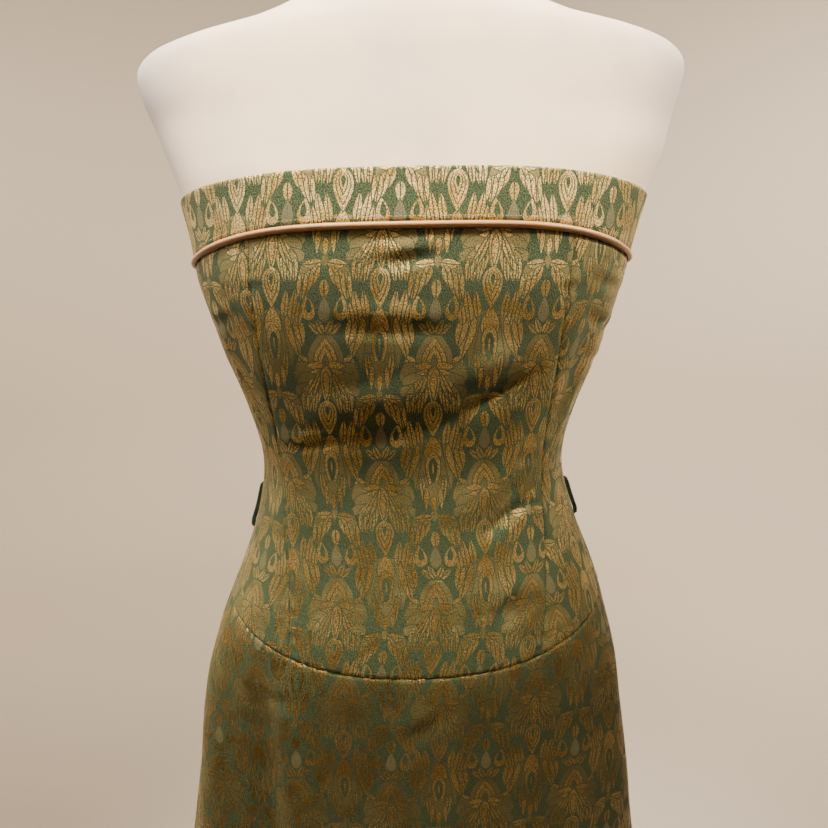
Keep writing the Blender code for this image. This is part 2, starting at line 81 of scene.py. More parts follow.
Seam = namedtuple("Seam", "height offset")
PRINCESS = (
    Seam(0.850, 0.0960),
    Seam(0.960, 0.0985),
    Seam(1.030, 0.0985),
    Seam(1.123, 0.1050),
    Seam(1.215, 0.1110),
)

# Creases as seen from the front, from one end to the other. Each is a trough with a soft lip on its
# upper side, lip being its share of the depth; a depth below zero makes a ridge.
Crease = namedtuple("Crease", "x1 z1 x2 z2 depth half_width lip")
FRONT_CREASES = (
    Crease(0.098, 1.115, 0.030, 1.076, 0.0040, 0.016, 0.5),
    Crease(0.106, 1.120, 0.010, 1.066, 0.0022, 0.006, 0.6),
    Crease(0.040, 1.078, -0.095, 1.055, 0.0035, 0.017, 0.5),
    Crease(0.022, 1.072, -0.018, 1.069, 0.0014, 0.006, 0.5),
    Crease(-0.104, 1.047, -0.038, 1.063, 0.0022, 0.006, 0.6),
    Crease(-0.034, 1.181, 0.028, 1.190, 0.0015, 0.007, 0.5),
    Crease(-0.070, 1.141, 0.036, 1.139, 0.0015, 0.009, 0.5),
    Crease(0.094, 1.032, 0.041, 0.978, 0.0030, 0.016, 0.5),
    Crease(0.103, 1.027, 0.044, 0.978, 0.0018, 0.006, 0.6),
    Crease(0.104, 1.010, 0.068, 0.999, 0.0014, 0.006, 0.5),
    Crease(0.102, 1.045, 0.070, 1.040, 0.0012, 0.007, 0.5),
    Crease(0.099, 0.943, 0.060, 0.916, 0.0020, 0.014, 0.5),
    Crease(0.118, 1.176, 0.160, 1.160, 0.0011, 0.006, 0.6),
    Crease(0.114, 1.152, 0.158, 1.128, 0.0014, 0.007, 0.6),
    Crease(0.110, 1.126, 0.150, 1.104, 0.0010, 0.006, 0.6),
    Crease(-0.163, 1.176, -0.128, 1.082, 0.0013, 0.008, 0.4),
    Crease(-0.118, 1.150, -0.158, 1.134, 0.0009, 0.006, 0.5),
    Crease(-0.016, 0.866, -0.014, 0.842, 0.0014, 0.005, 0.3),
    Crease(0.036, 0.852, -0.013, 0.820, 0.0012, 0.009, 0.4),
    Crease(-0.118, 0.846, -0.088, 0.858, 0.0018, 0.007, 0.4),
)
BACK_CREASES = (
    Crease(0.020, 1.120, 0.110, 1.098, 0.0022, 0.014, 0.5),
    Crease(-0.018, 1.088, -0.105, 1.108, 0.0024, 0.015, 0.5),
    Crease(0.014, 1.010, 0.095, 1.030, 0.0026, 0.012, 0.5),
    Crease(-0.014, 1.000, -0.100, 1.014, 0.0022, 0.013, 0.5),
    Crease(0.030, 0.958, 0.118, 0.972, 0.0018, 0.012, 0.5),
    Crease(-0.028, 0.950, -0.110, 0.936, 0.0020, 0.012, 0.5),
)

# Long soft ridges, and valleys below zero, that run down the sides of the bodice. The azimuths are
# where one starts and ends.
Pull = namedtuple("Pull", "azimuth_top top azimuth_bottom bottom half_angle rise")
SIDE_PULLS = (
    Pull(57, 1.195, 56, 1.035, 4.5, -0.0012),
    Pull(65, 1.190, 60, 1.020, 4.0, 0.0018),
    Pull(71, 1.175, 67, 1.060, 3.5, -0.0014),
    Pull(76, 1.165, 72, 1.050, 3.5, 0.0014),
    Pull(83, 1.170, 80, 1.030, 4.0, -0.0013),
    Pull(-58, 1.190, -57, 1.040, 4.5, -0.0010),
    Pull(-65, 1.180, -62, 1.020, 4.0, 0.0014),
    Pull(-72, 1.175, -68, 1.050, 3.5, -0.0012),
    Pull(-80, 1.160, -76, 1.070, 4.0, 0.0011),
    Pull(98, 1.150, 102, 1.020, 5.0, 0.0012),
    Pull(113, 1.165, 116, 1.060, 5.0, -0.0012),
    Pull(-99, 1.160, -103, 1.030, 5.0, 0.0013),
    Pull(-117, 1.140, -114, 1.020, 5.0, -0.0010),
)

Fold = namedtuple("Fold", "azimuth half_angle rise start")
SKIRT_FOLDS = (
    Fold(-45, 7, 0.0095, 0.35),
    Fold(-54, 7, -0.0085, 0.30),
    Fold(-71, 9, 0.0100, 0.35),
    Fold(-83, 9, -0.0090, 0.30),
    Fold(-20, 14, -0.0040, 0.10),
    Fold(8, 15, 0.0045, 0.05),
    Fold(30, 13, -0.0040, 0.10),
    Fold(60, 9, 0.0070, 0.20),
    Fold(72, 8, 0.0090, 0.35),
    Fold(84, 8, -0.0100, 0.35),
    Fold(101, 12, 0.0090, 0.20),
    Fold(118, 10, -0.0070, 0.15),
    Fold(134, 11, 0.0080, 0.15),
    Fold(152, 12, -0.0060, 0.10),
    Fold(172, 14, 0.0075, 0.10),
    Fold(-102, 11, 0.0085, 0.20),
    Fold(-120, 12, -0.0075, 0.15),
    Fold(-137, 10, 0.0085, 0.15),
    Fold(-160, 12, -0.0060, 0.10),
)

# The dress form's sections, as the part's, for a finer skin.
FORM_LOWER = (
    Section(0.752, 0.1500, 0.0740, 0.0880, 2.2, 0.0),
    Section(0.764, 0.1600, 0.0800, 0.0960, 2.3, 0.0),
    Section(0.820, 0.1655, 0.0815, 0.1050, 2.4, 0.0),
)
FORM_UPPER = (
    Section(1.262, 0.1890, 0.1015, 0.0925, 2.4, 0.0),
    Section(1.286, 0.1970, 0.0960, 0.0945, 2.2, -0.0012),
    Section(1.310, 0.2055, 0.0900, 0.0945, 2.1, -0.0024),
    Section(1.328, 0.2080, 0.0855, 0.0925, 2.0, -0.0028),
    Section(1.340, 0.1980, 0.0815, 0.0900, 2.0, -0.0028),
    Section(1.348, 0.1760, 0.0785, 0.0870, 2.0, -0.0020),
    Section(1.357, 0.1350, 0.0740, 0.0820, 2.0, -0.0010),
    Section(1.370, 0.0990, 0.0690, 0.0770, 2.0, 0.0),
    Section(1.388, 0.0740, 0.0640, 0.0690, 2.0, 0.0),
    Section(1.415, 0.0600, 0.0590, 0.0620, 2.0, 0.0),
    Section(1.455, 0.0560, 0.0570, 0.0590, 2.0, 0.0),
    Section(1.490, 0.0560, 0.0570, 0.0590, 2.0, 0.0),
)

# How much room the form's skin leaves inside the cloth at each height.
Room = namedtuple("Room", "height room")
FORM_ROOM = (
    Room(0.880, 0.0045),
    Room(0.935, 0.0045),
    Room(0.985, 0.0045),
    Room(1.030, 0.0050),
    Room(1.075, 0.0055),
    Room(1.120, 0.0060),
    Room(1.168, 0.0050),
    Room(1.200, 0.0015),
    Room(1.236, 0.0008),
)
# How far out from the middle the cover's painted shade, cooler and darker, starts and is full.
PAINTED_SHADE_FROM = 0.120
PAINTED_SHADE_FULL = 0.215
# The finer skin's rows: from, to and how many.
FORM_ROWS = (
    (0.752, 1.236, 60),
    (1.240, 1.330, 46),
    (1.332, 1.380, 40),
    (1.384, 1.490, 30),
)
FORM_RISE_TO_LEFT = 0.020
FORM_RISE_SPAN = 0.060

PIPING_RADIUS = 0.0021
PIPING_PROUD = 0.0005
STITCH_ABOVE_PIPING = 0.0033
STITCH_PITCH = 0.0030
STITCH_LENGTH = 0.0021
STITCH_RADIUS = 0.00022

# A belt loop: its azimuth in degrees, the height of its upper end and how far it hangs down.
Loop = namedtuple("Loop", "name azimuth top drop")
BELT_LOOPS = (
    Loop("belt_loop_left", 90, 1.004, 0.031),
    Loop("belt_loop_right", -90, 0.999, 0.038),
)
LOOP_STAND_OFF = 0.0040
LOOP_SEAT = 0.0012
# A loop's path, out from the cloth and down, as shares of its stand-off and its drop.
LoopPoint = namedtuple("LoopPoint", "out down")
LOOP_PATH = (
    LoopPoint(0.00, 0.00),
    LoopPoint(0.64, 0.02),
    LoopPoint(0.80, 0.10),
    LoopPoint(0.84, 0.26),
    LoopPoint(0.84, 0.46),
    LoopPoint(0.90, 0.66),
    LoopPoint(1.00, 0.84),
    LoopPoint(0.64, 0.97),
    LoopPoint(0.00, 1.00),
)
LOOP_STEPS = 241
LOOP_SMOOTHING = 15
LOOP_RUN_TO_DROP = 1.2
BRAID_PITCH = 0.0062
BRAID_HALF_WIDTH = 0.00115
BRAID_HALF_THICKNESS = 0.00060
STRAND_RADIUS = 0.00085

ZIP_HALF_WIDTH = 0.0016
ZIP_END_GAP = 0.0030
TOOTH_PITCH = 0.0014
TOOTH_SIZE = (0.0026, 0.0008, 0.0008)
TOOTH_ROUNDING = 0.28

# The weave's repeat: a column of figures, and the next one half a repeat lower. Where a column's
# figures are wide, its neighbours' are narrow, so the line between two columns swings from side to
# side: its swing is a sum of a long wave and a short one. Millimetres.
COLUMN_MM = 37.0
REPEAT_MM = 182.0
FIGURE_TOP_MM = -30.0
SWING_MM = 3.3
LONG_WAVE_CREST_MM = 30.0

# One leaf of the damask, in the right half of a column that is mirrored about its middle line.
# x is out from that line and y is down from the palmette. turn is the direction it grows in, from
# straight down toward the outside, in degrees. tone is its brightness, under 0.9 for a grained
# leaf and over 1 for one of pale silk, and rib is half its midrib's width.
Leaf = namedtuple("Leaf", "x y turn length width curl tone rib")
LEAVES = (
    Leaf(0, 44, 0, 54, 38, 0, 0.82, 0),
    Leaf(6, 47, 10, 40, 13, 0, 0.84, 0.3),
    Leaf(12, 47, 13, 33, 11, 0, 0.92, 0.3),
    Leaf(17.5, 49, 12, 24, 9, 0, 0.95, 0.3),
    Leaf(0, 62, 180, 22, 14, 0, 0.93, 0),
    Leaf(0, 54, 0, 34, 12, 0, 0.95, 0),
    Leaf(0, 59, 0, 22, 6.5, 0, 0.0, 0),
    Leaf(0, 62, 0, 13, 3, 0, 0.95, 0),
    Leaf(0, 78, 0, 24, 14, 0, 0.82, 0),
    Leaf(8.5, 72, -3, 29, 5.5, 2, 0.97, 0.3),
    Leaf(5, 82, 2, 19, 5, 0, 0.97, 0),
    Leaf(0, 88, 0, 14, 5.5, 0, 0.97, 0),
    Leaf(0, 99, 0, 10, 6, 0, 0.86, 0),
    Leaf(15, 103, -6, 18, 13, 0, 0.84, 0),
    Leaf(2, 104, 74, 15, 8, -3, 0.95, 0.3),
    Leaf(4, 106, 24, 23, 8, -2, 0.94, 0.3),
    Leaf(9, 109, 14, 21, 8, -1, 0.96, 0.3),
    Leaf(13.5, 111, 7, 20, 7.5, 0, 0.95, 0.3),
    Leaf(18, 110, 0, 19, 6.5, 0, 0.96, 0),
    Leaf(0, 115, 0, 15, 8, 0, 0.95, 0.3),
    Leaf(0, 143, 180, 18, 9.5, 0, 1.30, 0),
    Leaf(10.5, 142, 174, 18, 11, 0, 0.93, 0),
    Leaf(10.5, 137, 176, 10, 4.4, 0, 0.0, 0),
    Leaf(17.5, 139, 176, 13, 5, 0, 0.95, 0),
    Leaf(3, 151, 132, 13, 6, 0, 0.96, 0.3),
    Leaf(1, 151, 156, 13, 6, 0, 0.96, 0.3),
    Leaf(8, -4, 134, 22, 10, 0, 0.95, 0.3),
    Leaf(0, -4, 180, 31, 26, 0, 0.84, 0),
    Leaf(0, -4, 180, 25, 18, 0, 0.95, 0),
    Leaf(0, -5, 180, 19, 11.5, 0, 0.95, 0),
    Leaf(0, -6, 180, 12, 6, 0, 0.40, 0),
    Leaf(23.5, -3, -96, 22, 17, 0, 0.84, 0),
    Leaf(21, 4, -118, 19, 10, 0, 0.86, 0),
    Leaf(24, 10, -104, 19, 9, 2, 0.82, 0),
    Leaf(18, 15, -140, 20, 9, 0, 0.88, 0),
    Leaf(2, -10, 72, 13, 7, -3, 0.98, 0),
    Leaf(2, -6, 66, 11, 5.5, -3, 0.98, 0),
    Leaf(9.5, 1, 0, 9.5, 8.5, 0, 0.98, 0),
    Leaf(9.5, 3, 0, 5, 3.8, 0, 0.0, 0),
    Leaf(16, 10, 4, 18, 6.5, 0, 0.95, 0.3),
    Leaf(12, 9, 6, 20, 6, 0, 0.95, 0.3),
    Leaf(7.5, 9, 8, 20, 6, 0, 0.95, 0.3),
    Leaf(2.2, -7, 30, 28, 4, -1, 0.97, 0),
    Leaf(1.8, -7, 21, 30, 3.6, -1, 0.97, 0),
    Leaf(1.2, -7, 11, 32, 4, 0, 0.97, 0),
    Leaf(0, -9, 0, 31, 9.5, 0, 0.95, 0),
    Leaf(0, -5, 0, 22, 5.8, 0, 0.95, 0),
    Leaf(0, 16, 0, 28, 15, 0, 0.94, 0),
    Leaf(0, 18, 0, 21, 10.5, 0, 0.95, 0),
    Leaf(0, 19, 0, 14, 6.4, 0, 0.95, 0),
    Leaf(0, 20, 0, 8, 3, 0, 0.0, 0),
    Leaf(8.5, 49, 172, 21, 7, 0, 0.98, 0.3),
    Leaf(13.5, 52, 170, 25, 7.5, 0, 0.98, 0.3),
    Leaf(18.5, 54, 172, 19, 6.5, 0, 0.96, 0.3),
)
# What brings the widest place of a leaf's outline to its width.
LEAF_FULLNESS = 1.3
LEAF_OUTLINE_MM = 0.70
LEAF_SOFT_MM = 0.16

# The weave, to the metre: its threads across and down, drawn about as coarse as they need to show,
# and the fine dark lines of the weft's bindings.
THREADS_PER_METRE = (1000.0, 850.0, 1.0)
BINDINGS_PER_METRE = 620.0
BINDING_SWAY = 4.0
BINDING_PATCHES_PER_METRE = 130.0
WARM_PATCHES_PER_METRE = 38.0
PALE_SILK = "83734A"
# The grain of the other finishes, to the metre, as coarse as it needs to show.
SATIN_THREADS_PER_METRE = (900.0, 1500.0, 1.0)
JERSEY_CLOUDS_PER_METRE = 14.0
JERSEY_KNIT_PER_METRE = 900.0
WEAR_PER_METRE = 260.0


def smooth_between(rows, heights):
    """The rows' values at each height, on a cubic whose slopes come from the neighbouring rows."""
    table = np.array(rows, dtype=float)
    heights = np.clip(np.asarray(heights, dtype=float), table[0, 0], table[-1, 0])
    i = np.searchsorted(table[1:-1, 0], heights, side="left")
    low, high = table[i], table[i + 1]
    before, after = table[np.maximum(i - 1, 0)], table[np.minimum(i + 2, len(table) - 1)]
    span = high[..., :1] - low[..., :1]
    t = (heights[..., None] - low[..., :1]) / span
    slope1 = (high - before) / (high[..., :1] - before[..., :1]) * span
    slope2 = (after - low) / (after[..., :1] - low[..., :1]) * span
    mixed = (
        (2 * t**3 - 3 * t**2 + 1) * low
        + (t**3 - 2 * t**2 + t) * slope1
        + (3 * t**2 - 2 * t**3) * high
        + (t**3 - t**2) * slope2
    )
    return type(rows[0])(*np.moveaxis(mixed, -1, 0))


def ring_point(section, azimuth):
    """Points of the section's outline and the outline's outward directions there."""
    across, along = np.sin(azimuth), np.cos(azimuth)
    ahead = along > 0
    depth = np.where(ahead, section.front, section.back)
    power = np.where(ahead, section.square, BACK_SQUARE)
    wide, deep = np.abs(across / section.half_width), np.abs(along / depth)
    reach = (wide**power + deep**power) ** (-1 / power)
    x, y = reach * across, -reach * along
    out_x = np.sign(x) * np.abs(x / section.half_width) ** (power - 1) / section.half_width
    out_y = np.sign(y) * np.abs(y / depth) ** (power - 1) / depth
    size = np.hypot(out_x, out_y)
    point = np.stack([x + section.sway, y, section.height + 0 * x], axis=-1)
    out = np.stack([out_x / size, out_y / size, 0 * x], axis=-1)
    return point, out


def bump(distance):
    """1 in the middle, falling smoothly to 0 at a distance of 1."""
    return (1 - np.minimum(distance * distance, 1.0)) ** 2


def crease_relief(creases, x, z):
    """How far the cloth is pushed in by its creases, below zero, or stands out on their lips."""
    total = 0 * x
    for crease in creases:
        run_x, run_z = crease.x2 - crease.x1, crease.z2 - crease.z1
        length = math.hypot(run_x, run_z)
        along = ((x - crease.x1) * run_x + (z - crease.z1) * run_z) / length**2
        across = ((x - crease.x1) * run_z - (z - crease.z1) * run_x) / length
        if run_x > 0:
            across = -across
        trough = bump(across / crease.half_width)
        lip = crease.lip * bump((across - 1.3 * crease.half_width) / crease.half_width)
        total = total + crease.depth * bump(2 * along - 1) * (lip - trough)
    return total


def pull_relief(azimuth, height):
    """How far the bodice's sides are pushed out or in by the long pulls down them."""
    total = 0 * azimuth
    for pull in SIDE_PULLS:
        share = (pull.top - height) / (pull.top - pull.bottom)
        middle = pull.azimuth_top + (pull.azimuth_bottom - pull.azimuth_top) * share
        away = (np.degrees(azimuth) - middle + 180) % 360 - 180
        total = total + pull.rise * bump(away / pull.half_angle) * bump(2 * share - 1)
    return total


def fold_relief(azimuth, height):
    """How far the skirt's folds push it out or in."""
    top = line_height(WAIST_SEAM, azimuth)
    drop = np.clip((top - height) / (top - HEM.front), 0.0, 1.0)
    total = 0 * drop
    for fold in SKIRT_FOLDS:
        away = (np.degrees(azimuth) - fold.azimuth + 180) % 360 - 180
        grown = np.minimum(drop / 0.12, 1.0) * fold.start + (1 - fold.start) * drop
        total = total + fold.rise * grown * bump(away / fold.half_angle)
    return total


def line_height(line, azimuth):
    """The height of a line cut round the dress."""
    section = smooth_between(BODY, line.side)
    point, _ = ring_point(section, azimuth)
    share = np.abs(point[..., 0] - section.sway) / section.half_width
    ahead = line.front + (line.side - line.front) * share**line.bend
    behind = line.side + (line.back - line.side) * (point[..., 1] / section.back) ** 2
    height = np.where(np.cos(azimuth) > 0, ahead, behind)
    return height + RISE_TO_LEFT * point[..., 0] * (line is not HEM)


def cloth_point(azimuth, height, stand_off=0.0):
    """Points of the dress's outside, moved out by stand_off, and the outward directions."""
    azimuth, height = np.broadcast_arrays(np.asarray(azimuth, float), np.asarray(height, float))
    point, out = ring_point(smooth_between(BODY, height), azimuth)
    x, z = point[..., 0], point[..., 2]
    relief = np.where(
        np.cos(azimuth) > 0,
        crease_relief(FRONT_CREASES, x, z),
        crease_relief(BACK_CREASES, x, z),
    )
    in_skirt = height <= line_height(WAIST_SEAM, azimuth)
    relief = relief + np.where(
        in_skirt, fold_relief(azimuth, height), pull_relief(azimuth, height))
    return point + out * (relief + stand_off)[..., None], out


def princess_left(height):
    """The azimuth where the +X princess seam crosses a height."""
    section = smooth_between(BODY, height)
    offset = smooth_between(PRINCESS, height).offset
    share = offset / section.half_width
    depth = section.front * (1 - share**section.square) ** (1 / section.square)
    return np.arctan2(offset, depth)


def princess_right(height):
    return -princess_left(height)


def down(angle):
    """An edge that runs straight down the dress."""
    return lambda height: angle + 0 * height


def round_at(cut, shift=0.0):
    """An edge that follows a line cut round the dress."""
    return lambda azimuth: line_height(cut, azimuth) + shift


# How far in from a piece's edge its rows stand closer, and where they stand on that stretch.
EDGE_REACH = 0.0034
EDGE_ROWS = np.array([0.0, 0.25, 0.6, 1.0]) * EDGE_REACH


def spread(length, step):
    """Shares from 0 to 1 along a length, evenly step apart but closer near both ends."""
    count = max(int((length - 2 * EDGE_REACH) / step), 2)
    middle = np.linspace(EDGE_REACH, length - EDGE_REACH, count + 1)[1:-1]
    return np.concatenate([EDGE_ROWS, middle, length - EDGE_ROWS[::-1]]) / length


# How a piece is turned in at one of its edges, in metres.
Roll = namedtuple("Roll", "depth reach")
AT_SEAM = Roll(0.0008, 0.0026)
AT_FOLD = Roll(0.0007, 0.0014)
AT_PIPING = Roll(0.0012, 0.0034)
AT_ZIP = Roll(0.0005, 0.0014)
ABOVE_PIPING = Roll(0.0005, 0.0012)
BELOW_WAIST_SEAM = Roll(0.0013, 0.0030)

# One cut piece: its lower, upper, start and end edges, how each is turned in, how far apart its
# rows are, the azimuth that its grain follows, where on the weave that line and the height down
# lie, and how far its two ends stand back.
Panel = namedtuple("Panel", "low high start end rolls step grain across down start_gap end_gap")

# How far the weave leans, as a share of the way down.
GRAIN_DRIFT = 0.018


def edge_roll(distance, roll):
    """How far the outside is turned in at a distance from an edge."""
    return roll.depth * np.maximum(1 - distance / roll.reach, 0.0) ** 2


def shell(name, panel):
    """A cut piece as a closed wall, with turned edges, puckers at its seams and a map in metres."""
    middle = (panel.low(0.0) + panel.high(0.0)) / 2
    height_span = float(panel.high(0.0) - panel.low(0.0))
    angle_span = float(panel.end(middle) - panel.start(middle))
    reach = float(np.linalg.norm(cloth_point(panel.start(middle) + angle_span / 2, middle)[0][:2]))
    share = spread(abs(angle_span) * reach, panel.step)[None, :]
    level = spread(height_span, panel.step)[:, None]
    height = middle + 0 * (share + level)
    # The four edges depend on one another, so they are worked out a few times over.
    for _ in range(6):
        azimuth = panel.start(height) + (panel.end(height) - panel.start(height)) * share
        bottom = panel.low(azimuth) + SEAM_GAP / 2
        top = panel.high(azimuth) - SEAM_GAP / 2
        height = bottom + (top - bottom) * level
    outside, out = cloth_point(azimuth, height)
    reach = np.linalg.norm(outside[..., :2], axis=-1)
    azimuth = azimuth + ((1 - share) * panel.start_gap - share * panel.end_gap) / reach
    outside, out = cloth_point(azimuth, height)

    plain, _ = ring_point(smooth_between(BODY, height), azimuth)
    steps = np.linalg.norm(np.diff(plain, axis=1)[..., :2], axis=-1)
    run = np.concatenate([np.zeros((len(steps), 1)), np.cumsum(steps, axis=1)], axis=1)
    on_grain = np.array([np.interp(panel.grain, a, r) for a, r in zip(azimuth, run)])
    u = run - on_grain[:, None] + panel.across + GRAIN_DRIFT * (panel.down - height)
    v = panel.down - height

    # How far each point is from the four edges, and how far along them.
    from_edges = (height - bottom, top - height, run, run[:, -1:] - run)
    along_edges = (run, run, height, height)
    turned_in, turned_out, pulled = 0 * height, 0 * height, 0 * height
    for distance, along, roll in zip(from_edges, along_edges, panel.rolls):
        turned_in = np.maximum(turned_in, edge_roll(distance, roll))
        if roll is AT_FOLD:
            turned_out = np.maximum(turned_out, edge_roll(distance, roll))
        if roll in (AT_SEAM, BELOW_WAIST_SEAM):
            pulled = pulled + puckers(distance, along)
    turned_in = turned_in + pulled

    outer = outside - out * turned_in[..., None]
    inner = outside - out * (CLOTH - turned_out)[..., None]
    return mesh_piece(name, outer, inner, np.stack([u, v], axis=-1))


# The waves that make up a seam's puckers: share, radians to the metre, and start. They come and go
# along the seam with a slow wave of their own.
Wave = namedtuple("Wave", "share turns start")
PUCKER_WAVES = (Wave(1.0, 690, 0.0), Wave(0.8, 431, 1.3), Wave(0.6, 263, 2.9))
PUCKER_COME_AND_GO = Wave(0.5, 71, 0.4)
PUCKER_DEPTH = 0.00022
PUCKER_REACH = 0.0075


def wave_along(wave, along):
    return wave.share * np.sin(along * wave.turns + wave.start)


def puckers(distance, along):
    """The small uneven pulls of a sewn seam, which fade out over about a centimetre."""
    waves = sum(wave_along(wave, along) for wave in PUCKER_WAVES)
    strength = 0.5 + wave_along(PUCKER_COME_AND_GO, along)
    return PUCKER_DEPTH * waves * strength * np.exp(-((distance / PUCKER_REACH) ** 2))


def put_in_scene(name, data):
    """A new object at the origin."""
    made = bpy.data.objects.new(name, data)
    bpy.context.scene.collection.objects.link(made)
    return made


def lay_cut_map(mesh, uv):
    """Gives each corner of a mesh its point's place on the cut cloth, in metres."""
    corners = np.zeros(len(mesh.loops), dtype=np.int32)
    mesh.loops.foreach_get("vertex_index", corners)
    layer = mesh.uv_layers.new(name="cut")
    layer.data.foreach_set("uv", uv[corners].ravel())


def mesh_piece(name, outer, inner, uv):
    """A closed wall from two grids of points."""
    rows, columns = outer.shape[:2]
    front = np.arange(rows * columns).reshape(rows, columns)
    back = front + rows * columns
    faces = [
        grid_faces(front),
        grid_faces(back)[:, ::-1],
        strip_faces(front[:, 0], back[:, 0]),
        strip_faces(back[:, -1], front[:, -1]),
        strip_faces(back[0], front[0]),
        strip_faces(front[-1], back[-1]),
    ]
    mesh = bpy.data.meshes.new(name)
    points = np.concatenate([outer.reshape(-1, 3), inner.reshape(-1, 3)])
    mesh.from_pydata(points.tolist(), [], np.concatenate(faces).tolist())
    lay_cut_map(mesh, np.tile(uv.reshape(-1, 2), (2, 1)))
    mesh.shade_smooth()
    mesh.set_sharp_from_angle(angle=math.radians(55))
    return put_in_scene(name, mesh)


def grid_faces(index):
    return np.stack(
        [index[:-1, :-1], index[:-1, 1:], index[1:, 1:], index[1:, :-1]], axis=-1
    ).reshape(-1, 4)


def strip_faces(first, second):
    return np.stack([first[:-1], first[1:], second[1:], second[:-1]], axis=-1)


def colour(code):
    """An sRGB hex code as linear values."""
    parts = [int(code[i:i + 2], 16) / 255 for i in (0, 2, 4)]
    return [c / 12.92 if c <= 0.04045 else ((c + 0.055) / 1.055) ** 2.4 for c in parts] + [1.0]


def add(tree, kind, settings=None, **inputs):
    """Adds a node. settings are its properties. inputs are values, sockets, or nodes that stand
    for their first output. Each is named as its socket, with underscores for spaces, or _0, _1 and
    so on by its place."""
    node = tree.nodes.new(kind)
    for key, value in (settings or {}).items():
        setattr(node, key, value)
    for key, value in inputs.items():
        socket = node.inputs[int(key[1:]) if key[1:].isdigit() else key.replace("_", " ")]
        if isinstance(value, bpy.types.Node):
            value = value.outputs[0]
        if isinstance(value, bpy.types.NodeSocket):
            tree.links.new(value, socket)
        else:
            socket.default_value = value
    return node


def new_material(name):
    made = bpy.data.materials.new(name)
    made.use_nodes = True
    made.node_tree.nodes.clear()
    return made, made.node_tree


def leaf_group():
    """Draws one leaf over what is below it: an outline in the ground's colour, a tone, a midrib.

    Lengthwise and Crosswise turn a place in the column, (x, y, 1), into the leaf's own: how far
    along it, from 0 at the foot to 1 at the tip, and how far across it in millimetres.
    """
    tree = bpy.data.node_groups.new("leaf", "ShaderNodeTree")
    sockets = (
        ("Below", "NodeSocketFloat"),
        ("Place in column", "NodeSocketVector"),
        ("Lengthwise", "NodeSocketVector"),
        ("Crosswise", "NodeSocketVector"),
        ("Width", "NodeSocketFloat"),
        ("Curl", "NodeSocketFloat"),
        ("Tone", "NodeSocketFloat"),
        ("Rib", "NodeSocketFloat"),
    )
    for label, kind in sockets:
        tree.interface.new_socket(label, in_out="INPUT", socket_type=kind)
    tree.interface.new_socket("Figure", in_out="OUTPUT", socket_type="NodeSocketFloat")
    given = tree.nodes.new("NodeGroupInput").outputs
    sharpness = 1 / LEAF_SOFT_MM
    along = add(tree, "ShaderNodeVectorMath", {"operation": "DOT_PRODUCT"},
                _0=given[1], _1=given[2]).outputs["Value"]
    across = add(tree, "ShaderNodeVectorMath", {"operation": "DOT_PRODUCT"},
                 _0=given[1], _1=given[3]).outputs["Value"]
    bend = add(tree, "ShaderNodeMath", {"operation": "MULTIPLY"}, _0=along, _1=along)
    across = add(tree, "ShaderNodeMath", {"operation": "MULTIPLY_ADD"},
                 _0=bend, _1=given[5], _2=across)
    across = add(tree, "ShaderNodeMath", {"operation": "ABSOLUTE"}, _0=across)
    rise = add(tree, "ShaderNodeMath", {"operation": "SQRT"}, _0=along)
    fall = add(tree, "ShaderNodeMath", {"operation": "SUBTRACT"}, _0=1.0, _1=along)
    full = add(tree, "ShaderNodeMath", {"operation": "MULTIPLY"}, _0=rise, _1=fall)
    half = add(tree, "ShaderNodeMath", {"operation": "MULTIPLY"}, _0=full, _1=given[4])
    inside = add(tree, "ShaderNodeMath", {"operation": "SUBTRACT"}, _0=half, _1=across)
    clear = add(tree, "ShaderNodeMath", {"operation": "MULTIPLY_ADD", "use_clamp": True},
                _0=inside, _1=-sharpness, _2=1.0)
    fill = add(tree, "ShaderNodeMath", {"operation": "MULTIPLY_ADD", "use_clamp": True},
               _0=inside, _1=sharpness, _2=-LEAF_OUTLINE_MM * sharpness)
    beside = add(tree, "ShaderNodeMath", {"operation": "SUBTRACT"}, _0=across, _1=given[7])
    beside = add(tree, "ShaderNodeMath", {"operation": "MULTIPLY", "use_clamp": True},
                 _0=beside, _1=sharpness)
    painted = add(tree, "ShaderNodeMath", {"operation": "MULTIPLY"}, _0=fill, _1=beside)
    kept = add(tree, "ShaderNodeMath", {"operation": "MULTIPLY"}, _0=given[0], _1=clear)
    both = add(tree, "ShaderNodeMath", {"operation": "MULTIPLY_ADD"},
               _0=painted, _1=given[6], _2=kept)
    add(tree, "NodeGroupOutput", Figure=both)
    return tree


